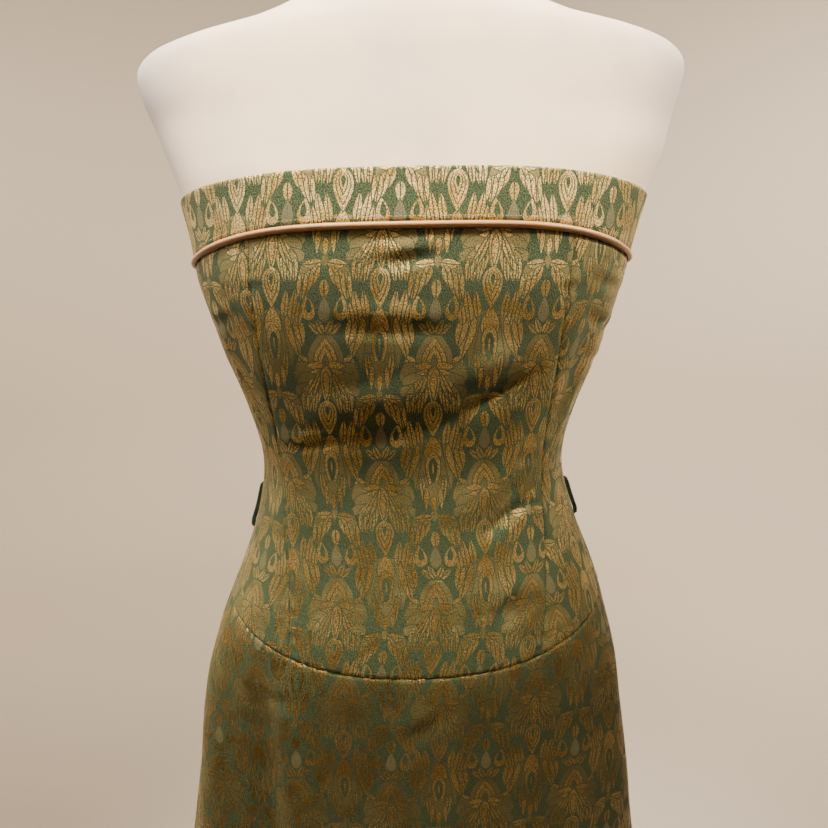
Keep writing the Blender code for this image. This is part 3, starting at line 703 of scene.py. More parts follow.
def figure_group(leaf_tree):
    """The damask's figure, 0 on the ground and up to 1 on a bright leaf, from a map in metres."""
    tree = bpy.data.node_groups.new("damask figure", "ShaderNodeTree")
    tree.interface.new_socket("Map", in_out="INPUT", socket_type="NodeSocketVector")
    tree.interface.new_socket("Figure", in_out="OUTPUT", socket_type="NodeSocketFloat")
    given = tree.nodes.new("NodeGroupInput").outputs
    mm = add(tree, "ShaderNodeVectorMath", {"operation": "SCALE"}, _0=given[0], Scale=1000.0)
    mm = add(tree, "ShaderNodeSeparateXYZ", _0=mm).outputs
    # How far the place is from the nearest even column, up to the middle of the odd one.
    off_even = add(tree, "ShaderNodeMath", {"operation": "PINGPONG"}, _0=mm[0], _1=COLUMN_MM)
    turns = add(tree, "ShaderNodeMath", {"operation": "MULTIPLY"},
                _0=mm[1], _1=2 * math.pi / REPEAT_MM)
    late = add(tree, "ShaderNodeMath", {"operation": "SUBTRACT"},
               _0=turns, _1=2 * math.pi * LONG_WAVE_CREST_MM / REPEAT_MM)
    long_wave = add(tree, "ShaderNodeMath", {"operation": "COSINE"}, _0=late)
    thrice = add(tree, "ShaderNodeMath", {"operation": "MULTIPLY"}, _0=turns, _1=3.0)
    short_wave = add(tree, "ShaderNodeMath", {"operation": "COSINE"}, _0=thrice)
    wave = add(tree, "ShaderNodeMath", {"operation": "ADD"}, _0=long_wave, _1=short_wave)
    border = add(tree, "ShaderNodeMath", {"operation": "MULTIPLY_ADD"},
                 _0=wave, _1=SWING_MM, _2=COLUMN_MM / 2)
    odd = add(tree, "ShaderNodeMath", {"operation": "GREATER_THAN"}, _0=off_even, _1=border)
    other_side = add(tree, "ShaderNodeMath", {"operation": "MULTIPLY_ADD"},
                     _0=off_even, _1=-2.0, _2=COLUMN_MM)
    x = add(tree, "ShaderNodeMath", {"operation": "MULTIPLY_ADD"},
            _0=odd, _1=other_side, _2=off_even)
    y = add(tree, "ShaderNodeMath", {"operation": "MULTIPLY_ADD"},
            _0=odd, _1=REPEAT_MM / 2, _2=mm[1])
    y = add(tree, "ShaderNodeMath", {"operation": "WRAP"}, _0=y,
            _1=FIGURE_TOP_MM + REPEAT_MM, _2=FIGURE_TOP_MM)
    place = add(tree, "ShaderNodeCombineXYZ", _0=x, _1=y, _2=1.0)
    figure = 0.0
    for spec in LEAVES:
        across, along = math.sin(math.radians(spec.turn)), math.cos(math.radians(spec.turn))
        to_foot = -(spec.x * across + spec.y * along)
        beside_foot = -(spec.x * along - spec.y * across)
        figure = add(
            tree, "ShaderNodeGroup", {"node_tree": leaf_tree},
            Below=figure,
            Place_in_column=place,
            Lengthwise=(across / spec.length, along / spec.length, to_foot / spec.length),
            Crosswise=(along, -across, beside_foot),
            Width=spec.width * LEAF_FULLNESS,
            Curl=spec.curl,
            Tone=spec.tone,
            Rib=spec.rib or -1.0,
        )
    add(tree, "NodeGroupOutput", Figure=figure)
    return tree


def brocade(name, figure_tree, ground, gold, gold_deep):
    """Silk brocade: a matt green ground with a figure of flat gold weft that catches the light."""
    made, tree = new_material(name)
    cut = add(tree, "ShaderNodeUVMap", {"uv_map": "cut"})
    figure = add(tree, "ShaderNodeGroup", {"node_tree": figure_tree}, Map=cut)
    threads = add(tree, "ShaderNodeVectorMath", {"operation": "MULTIPLY"}, _0=cut,
                  _1=THREADS_PER_METRE)
    speck = add(tree, "ShaderNodeTexNoise", {"noise_dimensions": "2D"}, Vector=threads,
                Scale=1.0, Detail=2.0, Roughness=0.7)
    # Fine dark lines run down the leaves, here and there, as the weft's bindings.
    drift = add(tree, "ShaderNodeTexNoise", {"noise_dimensions": "2D"}, Vector=cut,
                Scale=BINDING_PATCHES_PER_METRE, Detail=1.0)
    place = add(tree, "ShaderNodeSeparateXYZ", _0=cut).outputs
    lines = add(tree, "ShaderNodeMath", {"operation": "MULTIPLY"},
                _0=place[0], _1=BINDINGS_PER_METRE)
    lines = add(tree, "ShaderNodeMath", {"operation": "MULTIPLY_ADD"},
                _0=drift, _1=BINDING_SWAY, _2=lines)
    lines = add(tree, "ShaderNodeMath", {"operation": "PINGPONG"}, _0=lines, _1=0.5)
    lines = add(tree, "ShaderNodeMapRange", Value=lines, From_Min=0.05, From_Max=0.14,
                To_Min=0.45, To_Max=1.0)
    bare = add(tree, "ShaderNodeMapRange", Value=drift, From_Min=0.50, From_Max=0.56)
    lines = add(tree, "ShaderNodeMath", {"operation": "MAXIMUM"}, _0=lines, _1=bare)
    # A leaf with a tone under 0.9 is grained, and one over 1 is pale silk. Ground threads show
    # through both.
    grained = add(tree, "ShaderNodeMapRange", Value=figure, From_Min=0.92, From_Max=0.86)
    pale = add(tree, "ShaderNodeMapRange", Value=figure, From_Min=1.02, From_Max=1.15)
    open_weave = add(tree, "ShaderNodeMapRange", Value=speck, From_Min=0.44, From_Max=0.54)
    gaps = add(tree, "ShaderNodeMath", {"operation": "MAXIMUM"}, _0=grained, _1=pale)
    gaps = add(tree, "ShaderNodeMath", {"operation": "MULTIPLY"}, _0=gaps, _1=open_weave)
    gaps = add(tree, "ShaderNodeMath", {"operation": "MULTIPLY"}, _0=gaps, _1=0.75)
    solid = add(tree, "ShaderNodeMath", {"operation": "SUBTRACT"}, _0=1.0, _1=gaps)
    solid = add(tree, "ShaderNodeMath", {"operation": "MULTIPLY"}, _0=solid, _1=lines)
    figure = add(tree, "ShaderNodeMath", {"operation": "MULTIPLY"}, _0=figure, _1=solid)
    # Warmer and cooler gold in soft patches, as on worn cloth.
    patches = add(tree, "ShaderNodeTexNoise", {"noise_dimensions": "2D"}, Vector=cut,
                  Scale=WARM_PATCHES_PER_METRE, Detail=2.0, Roughness=0.55)
    warm = add(tree, "ShaderNodeMapRange", Value=patches, From_Min=0.35, From_Max=0.65)
    weft = add(tree, "ShaderNodeMix", {"data_type": "RGBA"}, _0=warm, _6=gold, _7=gold_deep)
    shade = add(tree, "ShaderNodeMapRange", Value=speck, From_Min=0.38, From_Max=0.62,
                To_Min=0.30, To_Max=1.55)
    weft = add(tree, "ShaderNodeMix", {"data_type": "RGBA"}, _0=pale, _6=weft.outputs[2],
               _7=colour(PALE_SILK))
    figure = add(tree, "ShaderNodeMath", {"operation": "MINIMUM"}, _0=figure, _1=1.0)
    mixed = add(tree, "ShaderNodeMix", {"data_type": "RGBA"}, _0=figure, _6=ground,
                _7=weft.outputs[2])
    base = add(tree, "ShaderNodeVectorMath", {"operation": "SCALE"}, _0=mixed.outputs[2],
               Scale=shade)
    rough = add(tree, "ShaderNodeMapRange", Value=figure, To_Min=0.90, To_Max=0.36)
    # Only the gold is metal, not the pale silk.
    metallic = add(tree, "ShaderNodeMath", {"operation": "MULTIPLY_ADD", "use_clamp": True},
                   _0=pale, _1=-1.0, _2=figure)
    metallic = add(tree, "ShaderNodeMath", {"operation": "MULTIPLY"}, _0=metallic, _1=0.92)
    relief = add(tree, "ShaderNodeBump", Strength=1.0, Distance=0.0006, Height=speck)
    shader = add(tree, "ShaderNodeBsdfPrincipled", Base_Color=base, Metallic=metallic,
                 Roughness=rough, Normal=relief, Sheen_Weight=0.22, Sheen_Roughness=0.35,
                 Sheen_Tint=colour("A8935A"))
    add(tree, "ShaderNodeOutputMaterial", Surface=shader)
    return made


def satin(name, base):
    """Bias satin over a cord: fine twill lines and a soft gloss."""
    made, tree = new_material(name)
    cut = add(tree, "ShaderNodeUVMap", {"uv_map": "cut"})
    fine = add(tree, "ShaderNodeVectorMath", {"operation": "MULTIPLY"}, _0=cut,
               _1=SATIN_THREADS_PER_METRE)
    speck = add(tree, "ShaderNodeTexNoise", {"noise_dimensions": "2D"}, Vector=fine, Scale=1.0,
                Detail=1.0)
    shade = add(tree, "ShaderNodeMapRange", Value=speck, From_Min=0.3, From_Max=0.7,
                To_Min=0.86, To_Max=1.10)
    tinted = add(tree, "ShaderNodeVectorMath", {"operation": "SCALE"}, _0=base[:3], Scale=shade)
    relief = add(tree, "ShaderNodeBump", Strength=0.3, Distance=0.0002, Height=speck)
    shader = add(tree, "ShaderNodeBsdfPrincipled", Base_Color=tinted, Roughness=0.42,
                 Normal=relief, Sheen_Weight=0.15)
    add(tree, "ShaderNodeOutputMaterial", Surface=shader)
    return made


def yarn(name, base, fibres, roughness=0.85, sheen=0.2):
    """Spun thread or a plain close weave, with a grain of so many fibres to the metre."""
    made, tree = new_material(name)
    where = add(tree, "ShaderNodeTexCoord").outputs["Object"]
    grain = add(tree, "ShaderNodeTexNoise", Vector=where, Scale=fibres, Detail=2.0)
    shade = add(tree, "ShaderNodeMapRange", Value=grain, From_Min=0.3, From_Max=0.7,
                To_Min=0.80, To_Max=1.15)
    tinted = add(tree, "ShaderNodeVectorMath", {"operation": "SCALE"}, _0=base[:3], Scale=shade)
    relief = add(tree, "ShaderNodeBump", Strength=0.4, Distance=0.0002, Height=grain)
    shader = add(tree, "ShaderNodeBsdfPrincipled", Base_Color=tinted,
                 Roughness=roughness, Normal=relief, Sheen_Weight=sheen)
    add(tree, "ShaderNodeOutputMaterial", Surface=shader)
    return made


def form_cloth(name, base, cloud_and_shade_tint):
    """The form's cover: smooth ivory jersey, a little uneven, cooler and darker at its sides as
    painted shade.
    """
    made, tree = new_material(name)
    where = add(tree, "ShaderNodeTexCoord").outputs["Object"]
    cloudy = add(tree, "ShaderNodeTexNoise", Vector=where, Scale=JERSEY_CLOUDS_PER_METRE,
                 Detail=3.0)
    knit = add(tree, "ShaderNodeTexNoise", Vector=where, Scale=JERSEY_KNIT_PER_METRE, Detail=1.0)
    amount = add(tree, "ShaderNodeMapRange", Value=cloudy, From_Min=0.4, From_Max=0.7,
                 To_Min=0.0, To_Max=0.30)
    across = add(tree, "ShaderNodeSeparateXYZ", _0=where).outputs["X"]
    across = add(tree, "ShaderNodeMath", {"operation": "ABSOLUTE"}, _0=across)
    # Painted shade: the cover turns cooler and darker the farther it lies out from the middle.
    painted_side_shade = add(tree, "ShaderNodeMapRange", {"interpolation_type": "SMOOTHSTEP"}, Value=across,
                  From_Min=PAINTED_SHADE_FROM, From_Max=PAINTED_SHADE_FULL, To_Min=0.0, To_Max=0.75)
    both = add(tree, "ShaderNodeMath", {"operation": "MAXIMUM"}, _0=amount, _1=painted_side_shade)
    # The one tint serves both the cloudy patches and the painted shade at the sides.
    tinted = add(tree, "ShaderNodeMix", {"data_type": "RGBA"}, _0=both, _6=base, _7=cloud_and_shade_tint)
    relief = add(tree, "ShaderNodeBump", Strength=0.2, Distance=0.0002, Height=knit)
    shader = add(tree, "ShaderNodeBsdfPrincipled", Base_Color=tinted.outputs[2], Roughness=0.8,
                 Normal=relief, Sheen_Weight=0.1)
    add(tree, "ShaderNodeOutputMaterial", Surface=shader)
    return made


def metal(name, base, roughness, metallic):
    """Worn metal or satin paint: the gloss varies a little in soft patches."""
    made, tree = new_material(name)
    where = add(tree, "ShaderNodeTexCoord").outputs["Object"]
    wear = add(tree, "ShaderNodeTexNoise", Vector=where, Scale=WEAR_PER_METRE, Detail=3.0)
    gloss = add(tree, "ShaderNodeMapRange", Value=wear, From_Min=0.3, From_Max=0.7,
                To_Min=roughness - 0.06, To_Max=roughness + 0.08)
    shade = add(tree, "ShaderNodeMapRange", Value=wear, From_Min=0.3, From_Max=0.7,
                To_Min=0.85, To_Max=1.08)
    tinted = add(tree, "ShaderNodeVectorMath", {"operation": "SCALE"}, _0=base[:3], Scale=shade)
    shader = add(tree, "ShaderNodeBsdfPrincipled", Base_Color=tinted,
                 Roughness=gloss, Metallic=metallic)
    add(tree, "ShaderNodeOutputMaterial", Surface=shader)
    return made


def rows_of_pieces():
    """Geometry nodes: a small piece again and again along a path, turned to follow it."""
    tree = bpy.data.node_groups.new("pieces along a path", "GeometryNodeTree")
    for label, kind in (
        ("Path", "NodeSocketGeometry"),
        ("Pitch", "NodeSocketFloat"),
        ("Piece", "NodeSocketObject"),
        ("Facing", "NodeSocketVector"),
        ("Material", "NodeSocketMaterial"),
    ):
        tree.interface.new_socket(label, in_out="INPUT", socket_type=kind)
    tree.interface.new_socket("Pieces", in_out="OUTPUT", socket_type="NodeSocketGeometry")
    given = tree.nodes.new("NodeGroupInput").outputs
    points = add(tree, "GeometryNodeCurveToPoints", {"mode": "LENGTH"}, Curve=given[0],
                 Length=given[1])
    piece = add(tree, "GeometryNodeObjectInfo", Object=given[2])
    along = add(tree, "FunctionNodeAlignRotationToVector", {"axis": "Z"},
                Vector=points.outputs["Tangent"])
    facing = add(tree, "FunctionNodeAlignRotationToVector", {"axis": "Y", "pivot_axis": "Z"},
                 Rotation=along, Vector=given[3])
    placed = add(tree, "GeometryNodeInstanceOnPoints", Points=points.outputs["Points"],
                 Instance=piece.outputs["Geometry"], Rotation=facing)
    real = add(tree, "GeometryNodeRealizeInstances", Geometry=placed)
    finished = add(tree, "GeometryNodeSetMaterial", Geometry=real, Material=given[4])
    add(tree, "NodeGroupOutput", Pieces=finished)
    return tree


def along_path(name, tree, points, pitch, piece, facing, made_of):
    """Pieces along a line of points, as one mesh object at the origin."""
    line = bpy.data.curves.new(name + "_path", "CURVE")
    line.dimensions = "3D"
    spline = line.splines.new("POLY")
    spline.points.add(len(points) - 1)
    for slot, point in zip(spline.points, points):
        slot.co = (*point, 1.0)
    carrier = put_in_scene(name + "_path", line)
    modifier = carrier.modifiers.new("pieces", "NODES")
    modifier.node_group = tree
    values = {"Pitch": pitch, "Piece": piece, "Facing": facing, "Material": made_of}
    for item in tree.interface.items_tree:
        if item.name in values:
            modifier[item.identifier] = values[item.name]
    graph = bpy.context.evaluated_depsgraph_get()
    mesh = bpy.data.meshes.new_from_object(carrier.evaluated_get(graph))
    mesh.name = name
    bpy.data.objects.remove(carrier)
    bpy.data.objects.remove(piece)
    return put_in_scene(name, mesh)


def rod_piece(name, length, radius):
    """A short round-ended stitch that lies along Z."""
    mesh = bmesh.new()
    bmesh.ops.create_uvsphere(mesh, u_segments=6, v_segments=5, radius=1.0)
    bmesh.ops.scale(mesh, vec=(radius, radius, length / 2), verts=mesh.verts)
    return loose_piece(name, mesh)


def loose_piece(name, mesh):
    data = bpy.data.meshes.new(name)
    mesh.to_mesh(data)
    mesh.free()
    data.shade_smooth()
    return put_in_scene(name, data)


def round_tube(name, points, radius, sides, made_of, wrinkles=0.0):
    """A closed round tube along points, with a map in metres. wrinkles is the depth of its small
    bias wrinkles, as a share of its radius."""
    points = np.asarray(points)
    tangent = np.gradient(points, axis=0)
    tangent /= np.linalg.norm(tangent, axis=1, keepdims=True)
    # Any direction will do to measure the turn from, as long as no part of the path follows it.
    first = np.cross(tangent, (0.31, 0.17, 0.94) if abs(tangent[0][2]) < 0.6 else (0.9, 0.3, 0.1))
    first /= np.linalg.norm(first, axis=1, keepdims=True)
    second = np.cross(tangent, first)
    steps = np.linalg.norm(np.diff(points, axis=0), axis=1)
    run = np.concatenate([[0.0], np.cumsum(steps)])[:, None]
    angle = np.linspace(0, 2 * math.pi, sides + 1)[:-1][None, :]
    wrinkle = np.sin(run * 900 + angle) * np.sin(run * 173 + 0.7)
    wrinkle = wrinkle + 0.5 * np.sin(run * 1370 + 2 * angle)
    size = radius * (1 + wrinkles * wrinkle)
    ring = (
        points[:, None, :]
        + (size * np.cos(angle))[..., None] * first[:, None, :]
        + (size * np.sin(angle))[..., None] * second[:, None, :]
    )
    count = len(points)
    index = np.arange(count * sides).reshape(count, sides)
    wrapped = np.concatenate([index, index[:, :1]], axis=1)
    faces = grid_faces(wrapped).tolist()
    faces += [index[0][::-1].tolist(), index[-1].tolist()]
    mesh = bpy.data.meshes.new(name)
    mesh.from_pydata(ring.reshape(-1, 3).tolist(), [], faces)
    uv = np.stack(np.broadcast_arrays(run, angle * radius), axis=-1).reshape(-1, 2)
    lay_cut_map(mesh, uv)
    mesh.materials.append(made_of)
    mesh.shade_smooth()
    mesh.set_sharp_from_angle(angle=math.radians(70))
    return put_in_scene(name, mesh)


# Materials

damask = figure_group(leaf_group())
# Silk and metal-thread brocade: a matt green ground, and gold weft that flashes toward the light.
silk_brocade = brocade("silk_brocade", damask, colour("384726"), colour("C0A464"), colour("9C7E3E"))
# The same brocade on the band, given paler colours as a painted highlight where it lies flat to the
# light.
band_brocade = brocade("band_brocade", damask, colour("3E4E2B"), colour("D4B878"), colour("B4924E"))
# The same brocade on the skirt, given darker, browner colours as painted shade where its weft lies
# away from the light.
skirt_brocade = brocade(
    "skirt_brocade", damask, colour("36421F"), colour("997D46"), colour("785C22"))
# Tan satin, cut on the bias: fine lines and a soft gloss.
bias_satin = satin("bias_satin", colour("AC7E4E"))
# Gold-tan polyester sewing thread, with a slight sheen.
sewing_thread = yarn("sewing_thread", colour("B59A68"), 2400.0, roughness=0.6)
# Dark green cotton embroidery thread, matt and a little furry.
loop_thread = yarn("loop_thread", colour("2E3F2C"), 2600.0)
# Dyed nylon coil, olive, with a dull plastic gloss.
zip_nylon = yarn("zip_nylon", colour("55502E"), 1800.0, roughness=0.5, sheen=0.05)
# Antique brass, brushed: a dull gold with soft worn patches.
antique_brass = metal("antique_brass", colour("9C7F4C"), 0.38, 1.0)
# Ivory cotton jersey, matt, smooth and a little cloudy, with painted shade toward its sides.
ivory_jersey = form_cloth("ivory_jersey", colour("FBE1BA"), colour("B3A8AE"))
# Satin black enamel on steel, smooth with a soft gloss.
black_enamel = metal("black_enamel", colour("1C1C1D"), 0.42, 0.0)


# Cloth

beside_piping = PIPING_RADIUS + SEAM_GAP / 2
band_low, band_high = round_at(PIPING, beside_piping), round_at(TOP_EDGE)
bodice_low, bodice_high = round_at(WAIST_SEAM), round_at(PIPING, -beside_piping)
skirt_low, skirt_high = round_at(HEM), round_at(WAIST_SEAM)
half_gap = SEAM_GAP / 2
zip_gap = ZIP_HALF_WIDTH + SEAM_GAP
fine, medium, broad = 0.0022, 0.0028, 0.0040

PANELS = {
    "band_front": Panel(
        band_low, band_high, down(-SIDE), down(SIDE),
        (ABOVE_PIPING, AT_FOLD, AT_SEAM, AT_SEAM), fine, 0.0, 0.0440, 1.2590, half_gap, half_gap),
    "band_back_left": Panel(
        band_low, band_high, down(SIDE), down(BACK_MIDDLE),
        (ABOVE_PIPING, AT_FOLD, AT_SEAM, AT_ZIP), medium, math.radians(110), 0.0100, 1.2590,
        half_gap, zip_gap),
    "band_back_right": Panel(
        band_low, band_high, down(-BACK_MIDDLE), down(-SIDE),
        (ABOVE_PIPING, AT_FOLD, AT_ZIP, AT_SEAM), medium, math.radians(-110), 0.0250, 1.2590,
        zip_gap, half_gap),
    "bodice_front": Panel(
        bodice_low, bodice_high, princess_right, princess_left,
        (AT_SEAM, AT_PIPING, AT_SEAM, AT_SEAM), fine, 0.0, 0.0190, 1.1970, half_gap, half_gap),
    "bodice_side_left": Panel(
        bodice_low, bodice_high, princess_left, down(SIDE),
        (AT_SEAM, AT_PIPING, AT_SEAM, AT_SEAM), fine, math.radians(70), 0.0060, 1.1700,
        half_gap, half_gap),
    "bodice_side_right": Panel(
        bodice_low, bodice_high, down(-SIDE), princess_right,
        (AT_SEAM, AT_PIPING, AT_SEAM, AT_SEAM), fine, math.radians(-70), 0.0130, 1.1820,
        half_gap, half_gap),
    "bodice_back_left": Panel(
        bodice_low, bodice_high, down(SIDE), down(BACK_MIDDLE),
        (AT_SEAM, AT_PIPING, AT_SEAM, AT_ZIP), medium, math.radians(140), 0.0100, 1.1900,
        half_gap, zip_gap),
    "bodice_back_right": Panel(
        bodice_low, bodice_high, down(-BACK_MIDDLE), down(-SIDE),
        (AT_SEAM, AT_PIPING, AT_ZIP, AT_SEAM), medium, math.radians(-140), 0.0300, 1.1900,
        zip_gap, half_gap),
    "skirt_front": Panel(
        skirt_low, skirt_high, down(-SIDE), down(SIDE),
        (AT_FOLD, BELOW_WAIST_SEAM, AT_SEAM, AT_SEAM), broad, 0.0, 0.0140, 0.9400,
        half_gap, half_gap),
    "skirt_back": Panel(
        skirt_low, skirt_high, down(SIDE), down(BACK_MIDDLE + SIDE),
        (AT_FOLD, BELOW_WAIST_SEAM, AT_SEAM, AT_SEAM), broad, BACK_MIDDLE, 0.0050, 0.9500,
        half_gap, half_gap),
}

# Each piece's cut: the rectangle that it comes out of and its own area.
Cut = namedtuple("Cut", "width length area")

for node, panel in PANELS.items():
    piece = shell("cloth_" + node, panel)
    in_band, in_skirt = node.startswith("band"), node.startswith("skirt")
    # The band takes the paler copy of the brocade, with its painted highlight.
    # The skirt takes the darker copy of the brocade, with its painted shade.
    made_of = band_brocade if in_band else skirt_brocade if in_skirt else silk_brocade
    piece.data.materials.append(made_of)
    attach(piece, "root")
    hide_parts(node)


# Trim

rows = rows_of_pieces()
trim = (ZIP_HALF_WIDTH + SEAM_GAP) / float(cloth_point(BACK_MIDDLE, PIPING.back)[0][1])
turn = np.linspace(-BACK_MIDDLE + trim, BACK_MIDDLE - trim, 721)
cord_line, _ = cloth_point(turn, line_height(PIPING, turn), PIPING_PROUD)
piping = round_tube("piping_cord", cord_line, PIPING_RADIUS, 14, bias_satin, 0.035)
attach(piping, "root")
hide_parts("piping")

stitch_line, _ = cloth_point(turn, line_height(PIPING, turn) + STITCH_ABOVE_PIPING + PIPING_RADIUS,
                             -0.0001)
piping_stitches = along_path("piping_stitches", rows, stitch_line, STITCH_PITCH,
                             rod_piece("stitch", STITCH_LENGTH, STITCH_RADIUS), (0, -1, 0),
                             sewing_thread)
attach(piping_stitches, "root")


# Belt loops

# Three strands of thread cross over one another down each loop.
for loop in BELT_LOOPS:
    spots = np.array(LOOP_PATH)
    fine_run = np.linspace(0, 1, LOOP_STEPS)
    coarse_run = np.concatenate([[0], np.cumsum(np.hypot(
        np.diff(spots[:, 0]) * LOOP_STAND_OFF, np.diff(spots[:, 1]) * loop.drop))])
    coarse_run /= coarse_run[-1]
    path_out = np.interp(fine_run, coarse_run, spots[:, 0])
    path_down = np.interp(fine_run, coarse_run, spots[:, 1])
    kernel = np.ones(LOOP_SMOOTHING) / LOOP_SMOOTHING
    beyond = LOOP_SMOOTHING // 2
    path_out = np.convolve(np.pad(path_out, beyond, mode="edge"), kernel, mode="valid")
    path_down = np.convolve(np.pad(path_down, beyond, mode="edge"), kernel, mode="valid")
    stand_off = LOOP_SEAT + (LOOP_STAND_OFF - LOOP_SEAT) * path_out
    middle, out = cloth_point(
        math.radians(loop.azimuth) + 0 * path_down, loop.top - loop.drop * path_down, stand_off)
    tangent = np.gradient(middle, axis=0)
    tangent /= np.linalg.norm(tangent, axis=1, keepdims=True)
    sideways = np.cross(tangent, out)
    sideways /= np.linalg.norm(sideways, axis=1, keepdims=True)
    outward = np.cross(sideways, tangent)
    phase = fine_run * loop.drop * LOOP_RUN_TO_DROP / BRAID_PITCH * 2 * math.pi
    strands = []
    for strand in range(3):
        at = phase + strand * 2 * math.pi / 3
        line = (
            middle
            + BRAID_HALF_THICKNESS * np.sin(2 * at)[:, None] * sideways
            + BRAID_HALF_WIDTH * np.sin(at)[:, None] * outward
        )
        strands.append(round_tube(
            f"{loop.name}_strand_{strand}", line, STRAND_RADIUS, 8, loop_thread))
    joined = bmesh.new()
    for strand in strands:
        joined.from_mesh(strand.data)
        bpy.data.objects.remove(strand)
    data = bpy.data.meshes.new("braid_" + loop.name)
    joined.to_mesh(data)
    joined.free()
    data.materials.append(loop_thread)
    braid = put_in_scene("braid_" + loop.name, data)
    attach(braid, "root")
    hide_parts(loop.name)


# Zip

zip_low = float(line_height(WAIST_SEAM, BACK_MIDDLE)) + ZIP_END_GAP
zip_high = float(line_height(TOP_EDGE, BACK_MIDDLE)) - ZIP_END_GAP
zip_run = np.linspace(zip_low, zip_high, 160)
zip_line, _ = cloth_point(BACK_MIDDLE + 0 * zip_run, zip_run, -0.0002)
tooth_mesh = bmesh.new()
bmesh.ops.create_cube(tooth_mesh, size=1.0)
bmesh.ops.bevel(
    tooth_mesh, geom=tooth_mesh.edges[:], offset=TOOTH_ROUNDING, segments=2, affect="EDGES")
bmesh.ops.scale(tooth_mesh, vec=TOOTH_SIZE, verts=tooth_mesh.verts)
teeth = along_path("zip_teeth", rows, zip_line, TOOTH_PITCH, loose_piece("tooth", tooth_mesh),
                   (0, 1, 0), zip_nylon)
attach(teeth, "root")


# Form

# The part's sections on a finer grid.
form_rows = [*FORM_LOWER]
for row in FORM_ROOM:
    outside = smooth_between(BODY, row.height)
    inset = CLOTH + row.room
    form_rows.append(Section(
        row.height,
        float(outside.half_width) - inset,
        float(outside.front) - inset,
        float(outside.back) - inset,
        float(outside.square),
        float(outside.sway),
    ))
form_rows += FORM_UPPER
levels = np.concatenate([np.linspace(*stretch) for stretch in FORM_ROWS])
around = np.radians(np.linspace(-180, 180, 241))[:-1]
grid_azimuth, grid_level = np.meshgrid(around, levels)
skin, _ = ring_point(smooth_between(form_rows, grid_level), grid_azimuth)
above_band = (grid_level - FORM_ROOM[-1].height) / FORM_RISE_SPAN
rise = FORM_RISE_TO_LEFT * np.clip(above_band, 0.0, 1.0) * (grid_level < FORM_UPPER[-1].height)
skin[..., 2] += rise * skin[..., 0]
index = np.arange(skin.shape[0] * skin.shape[1]).reshape(skin.shape[:2])
wrapped = np.concatenate([index, index[:, :1]], axis=1)
form_faces = grid_faces(wrapped).tolist() + [index[0][::-1].tolist(), index[-1].tolist()]
form_mesh = bpy.data.meshes.new("form_cover")
form_mesh.from_pydata(skin.reshape(-1, 3).tolist(), [], form_faces)
form_mesh.materials.append(ivory_jersey)
form_mesh.shade_smooth()
form_mesh.set_sharp_from_angle(angle=math.radians(60))
form_cover = put_in_scene("form_cover", form_mesh)
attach(form_cover, "root")
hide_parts("form_torso")


# Finishes of the part's own nodes

FINISHES = {
    "zip_chain": zip_nylon,
    "zip_slider": antique_brass,
    "zip_pull": antique_brass,
    "form_neck_cap": ivory_jersey,
    "stand_pole": black_enamel,
    "stand_base": black_enamel,
}
for node, finish in FINISHES.items():
    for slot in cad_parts[node].material_slots:
        slot.material = finish


# Room and light

ROOM_RADIUS = 2.8
ROOM_HEIGHT = 3.6
FOOT_RADIUS = 0.6
ROOM_SIDES = 96
ROOM_MIDDLE = 0.1
foot_turn = np.radians(np.arange(0, 91, 10))
profile = np.concatenate([
    [(ROOM_MIDDLE, 0.0)],
    np.stack([
        ROOM_RADIUS - FOOT_RADIUS * (1 - np.sin(foot_turn)),
        FOOT_RADIUS * (1 - np.cos(foot_turn)),
    ], axis=-1),
    [(ROOM_RADIUS, ROOM_HEIGHT)],
])
room_turn = np.linspace(0, 2 * math.pi, ROOM_SIDES + 1)[:-1]
room_points = np.stack([
    profile[:, :1] * np.sin(room_turn),
    profile[:, :1] * np.cos(room_turn),
    profile[:, 1:] + 0 * room_turn,
], axis=-1)
room_index = np.arange(room_points.shape[0] * ROOM_SIDES).reshape(-1, ROOM_SIDES)
room_faces = grid_faces(np.concatenate([room_index, room_index[:, :1]], axis=1))
room_mesh = bpy.data.meshes.new("room")
room_mesh.from_pydata(
    room_points.reshape(-1, 3).tolist(), [], room_faces.tolist() + [room_index[0].tolist()])
plain_paper, paper_tree = new_material("plain_paper")
paper_shader = add(
    paper_tree, "ShaderNodeBsdfPrincipled", Base_Color=colour("DED3C3"), Roughness=0.9)
add(paper_tree, "ShaderNodeOutputMaterial", Surface=paper_shader)
room_mesh.materials.append(plain_paper)
room_mesh.shade_smooth()
room = put_in_scene("room", room_mesh)

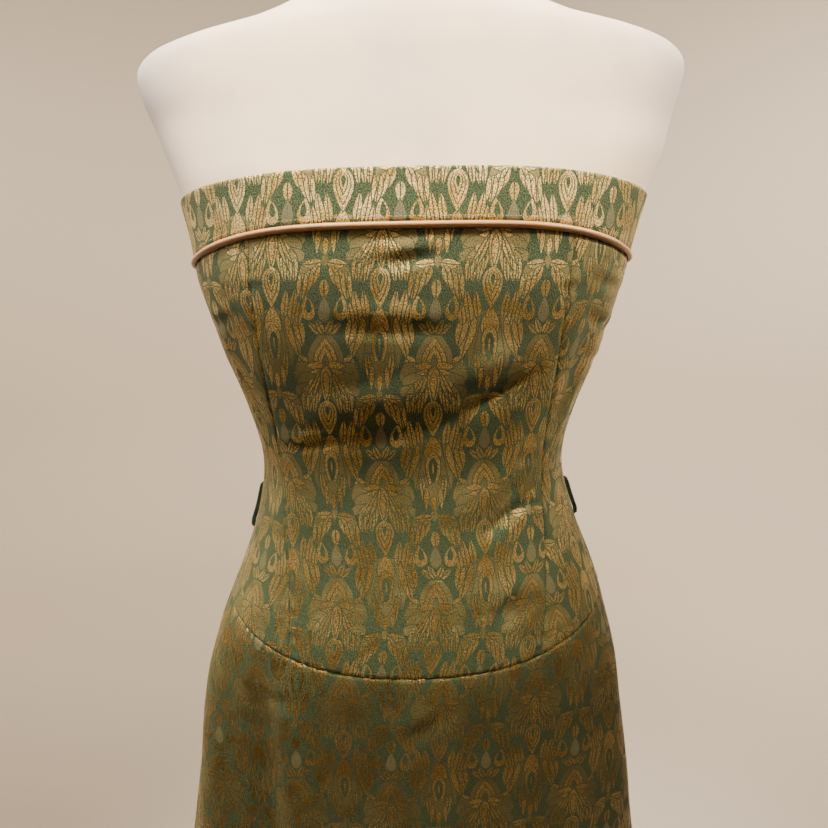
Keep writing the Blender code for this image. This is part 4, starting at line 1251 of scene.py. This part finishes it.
Lamp = namedtuple("Lamp", "name x aim_x y z aim_y aim_z size spread watts tint")
LAMPS = (
    Lamp("key", -0.20, -0.02, -0.34, 2.45, -0.08, 1.15, 0.40, 42.0, 4.9, "FFF6E9"),
    Lamp("over_left", -0.60, -0.10, -0.30, 2.15, -0.08, 1.18, 0.35, 42.0, 1.1, "FFF6E9"),
    Lamp("accent", 1.10, 0.16, -0.25, 2.30, 0.0, 1.29, 0.35, 12.0, 1.3, "FFF3E2"),
    Lamp("front", -0.70, 0.0, -1.50, 2.20, 0.0, 1.10, 0.8, 50.0, 0.4, "FFF3E2"),
    Lamp("left", -1.70, 0.0, 0.15, 1.80, 0.0, 1.10, 0.9, 60.0, 2.6, "F3F0F4"),
    Lamp("right", 1.70, 0.0, 0.15, 1.80, 0.0, 1.10, 0.9, 60.0, 0.7, "F3F0F4"),
    Lamp("skirt", 1.30, -0.10, -1.10, 0.95, -0.10, 0.66, 0.20, 14.0, 0.05, "FFF3E2"),
    Lamp("wall_left", -1.80, -0.4, 0.60, 1.90, 2.8, 0.70, 1.2, 130.0, 24.0, "FFF0DC"),
    Lamp("wall_right", 1.80, 0.4, 0.60, 1.90, 2.8, 0.70, 1.2, 130.0, 50.0, "FFF0DC"),
)
for lamp in LAMPS:
    light = bpy.data.lights.new(lamp.name, "AREA")
    light.size = lamp.size
    light.energy = lamp.watts
    light.spread = math.radians(lamp.spread)
    light.color = colour(lamp.tint)[:3]
    holder = put_in_scene(lamp.name, light)
    holder.location = (lamp.x, lamp.y, lamp.z)
    aim = Vector((lamp.aim_x, lamp.aim_y, lamp.aim_z)) - holder.location
    holder.rotation_euler = aim.to_track_quat("-Z", "Y").to_euler()
    holder.visible_camera = False

world = bpy.data.worlds.new("soft_room")
world.use_nodes = True
world.node_tree.nodes["Background"].inputs["Color"].default_value = colour("EDE4D8")
world.node_tree.nodes["Background"].inputs["Strength"].default_value = 0.04
bpy.context.scene.world = world

LENS_MM = 30.43
FRAME_MM = 36.0
CAMERA_PLACE = (0.0, -0.581, 1.178)
CAMERA_TILT = math.radians(78.5)
camera_data = bpy.data.cameras.new("camera")
camera_data.sensor_width = FRAME_MM
camera_data.lens = LENS_MM
camera_data.clip_start = 0.01
camera = put_in_scene("camera", camera_data)
camera.location = CAMERA_PLACE
camera.rotation_euler = (CAMERA_TILT, 0.0, 0.0)
bpy.context.scene.camera = camera
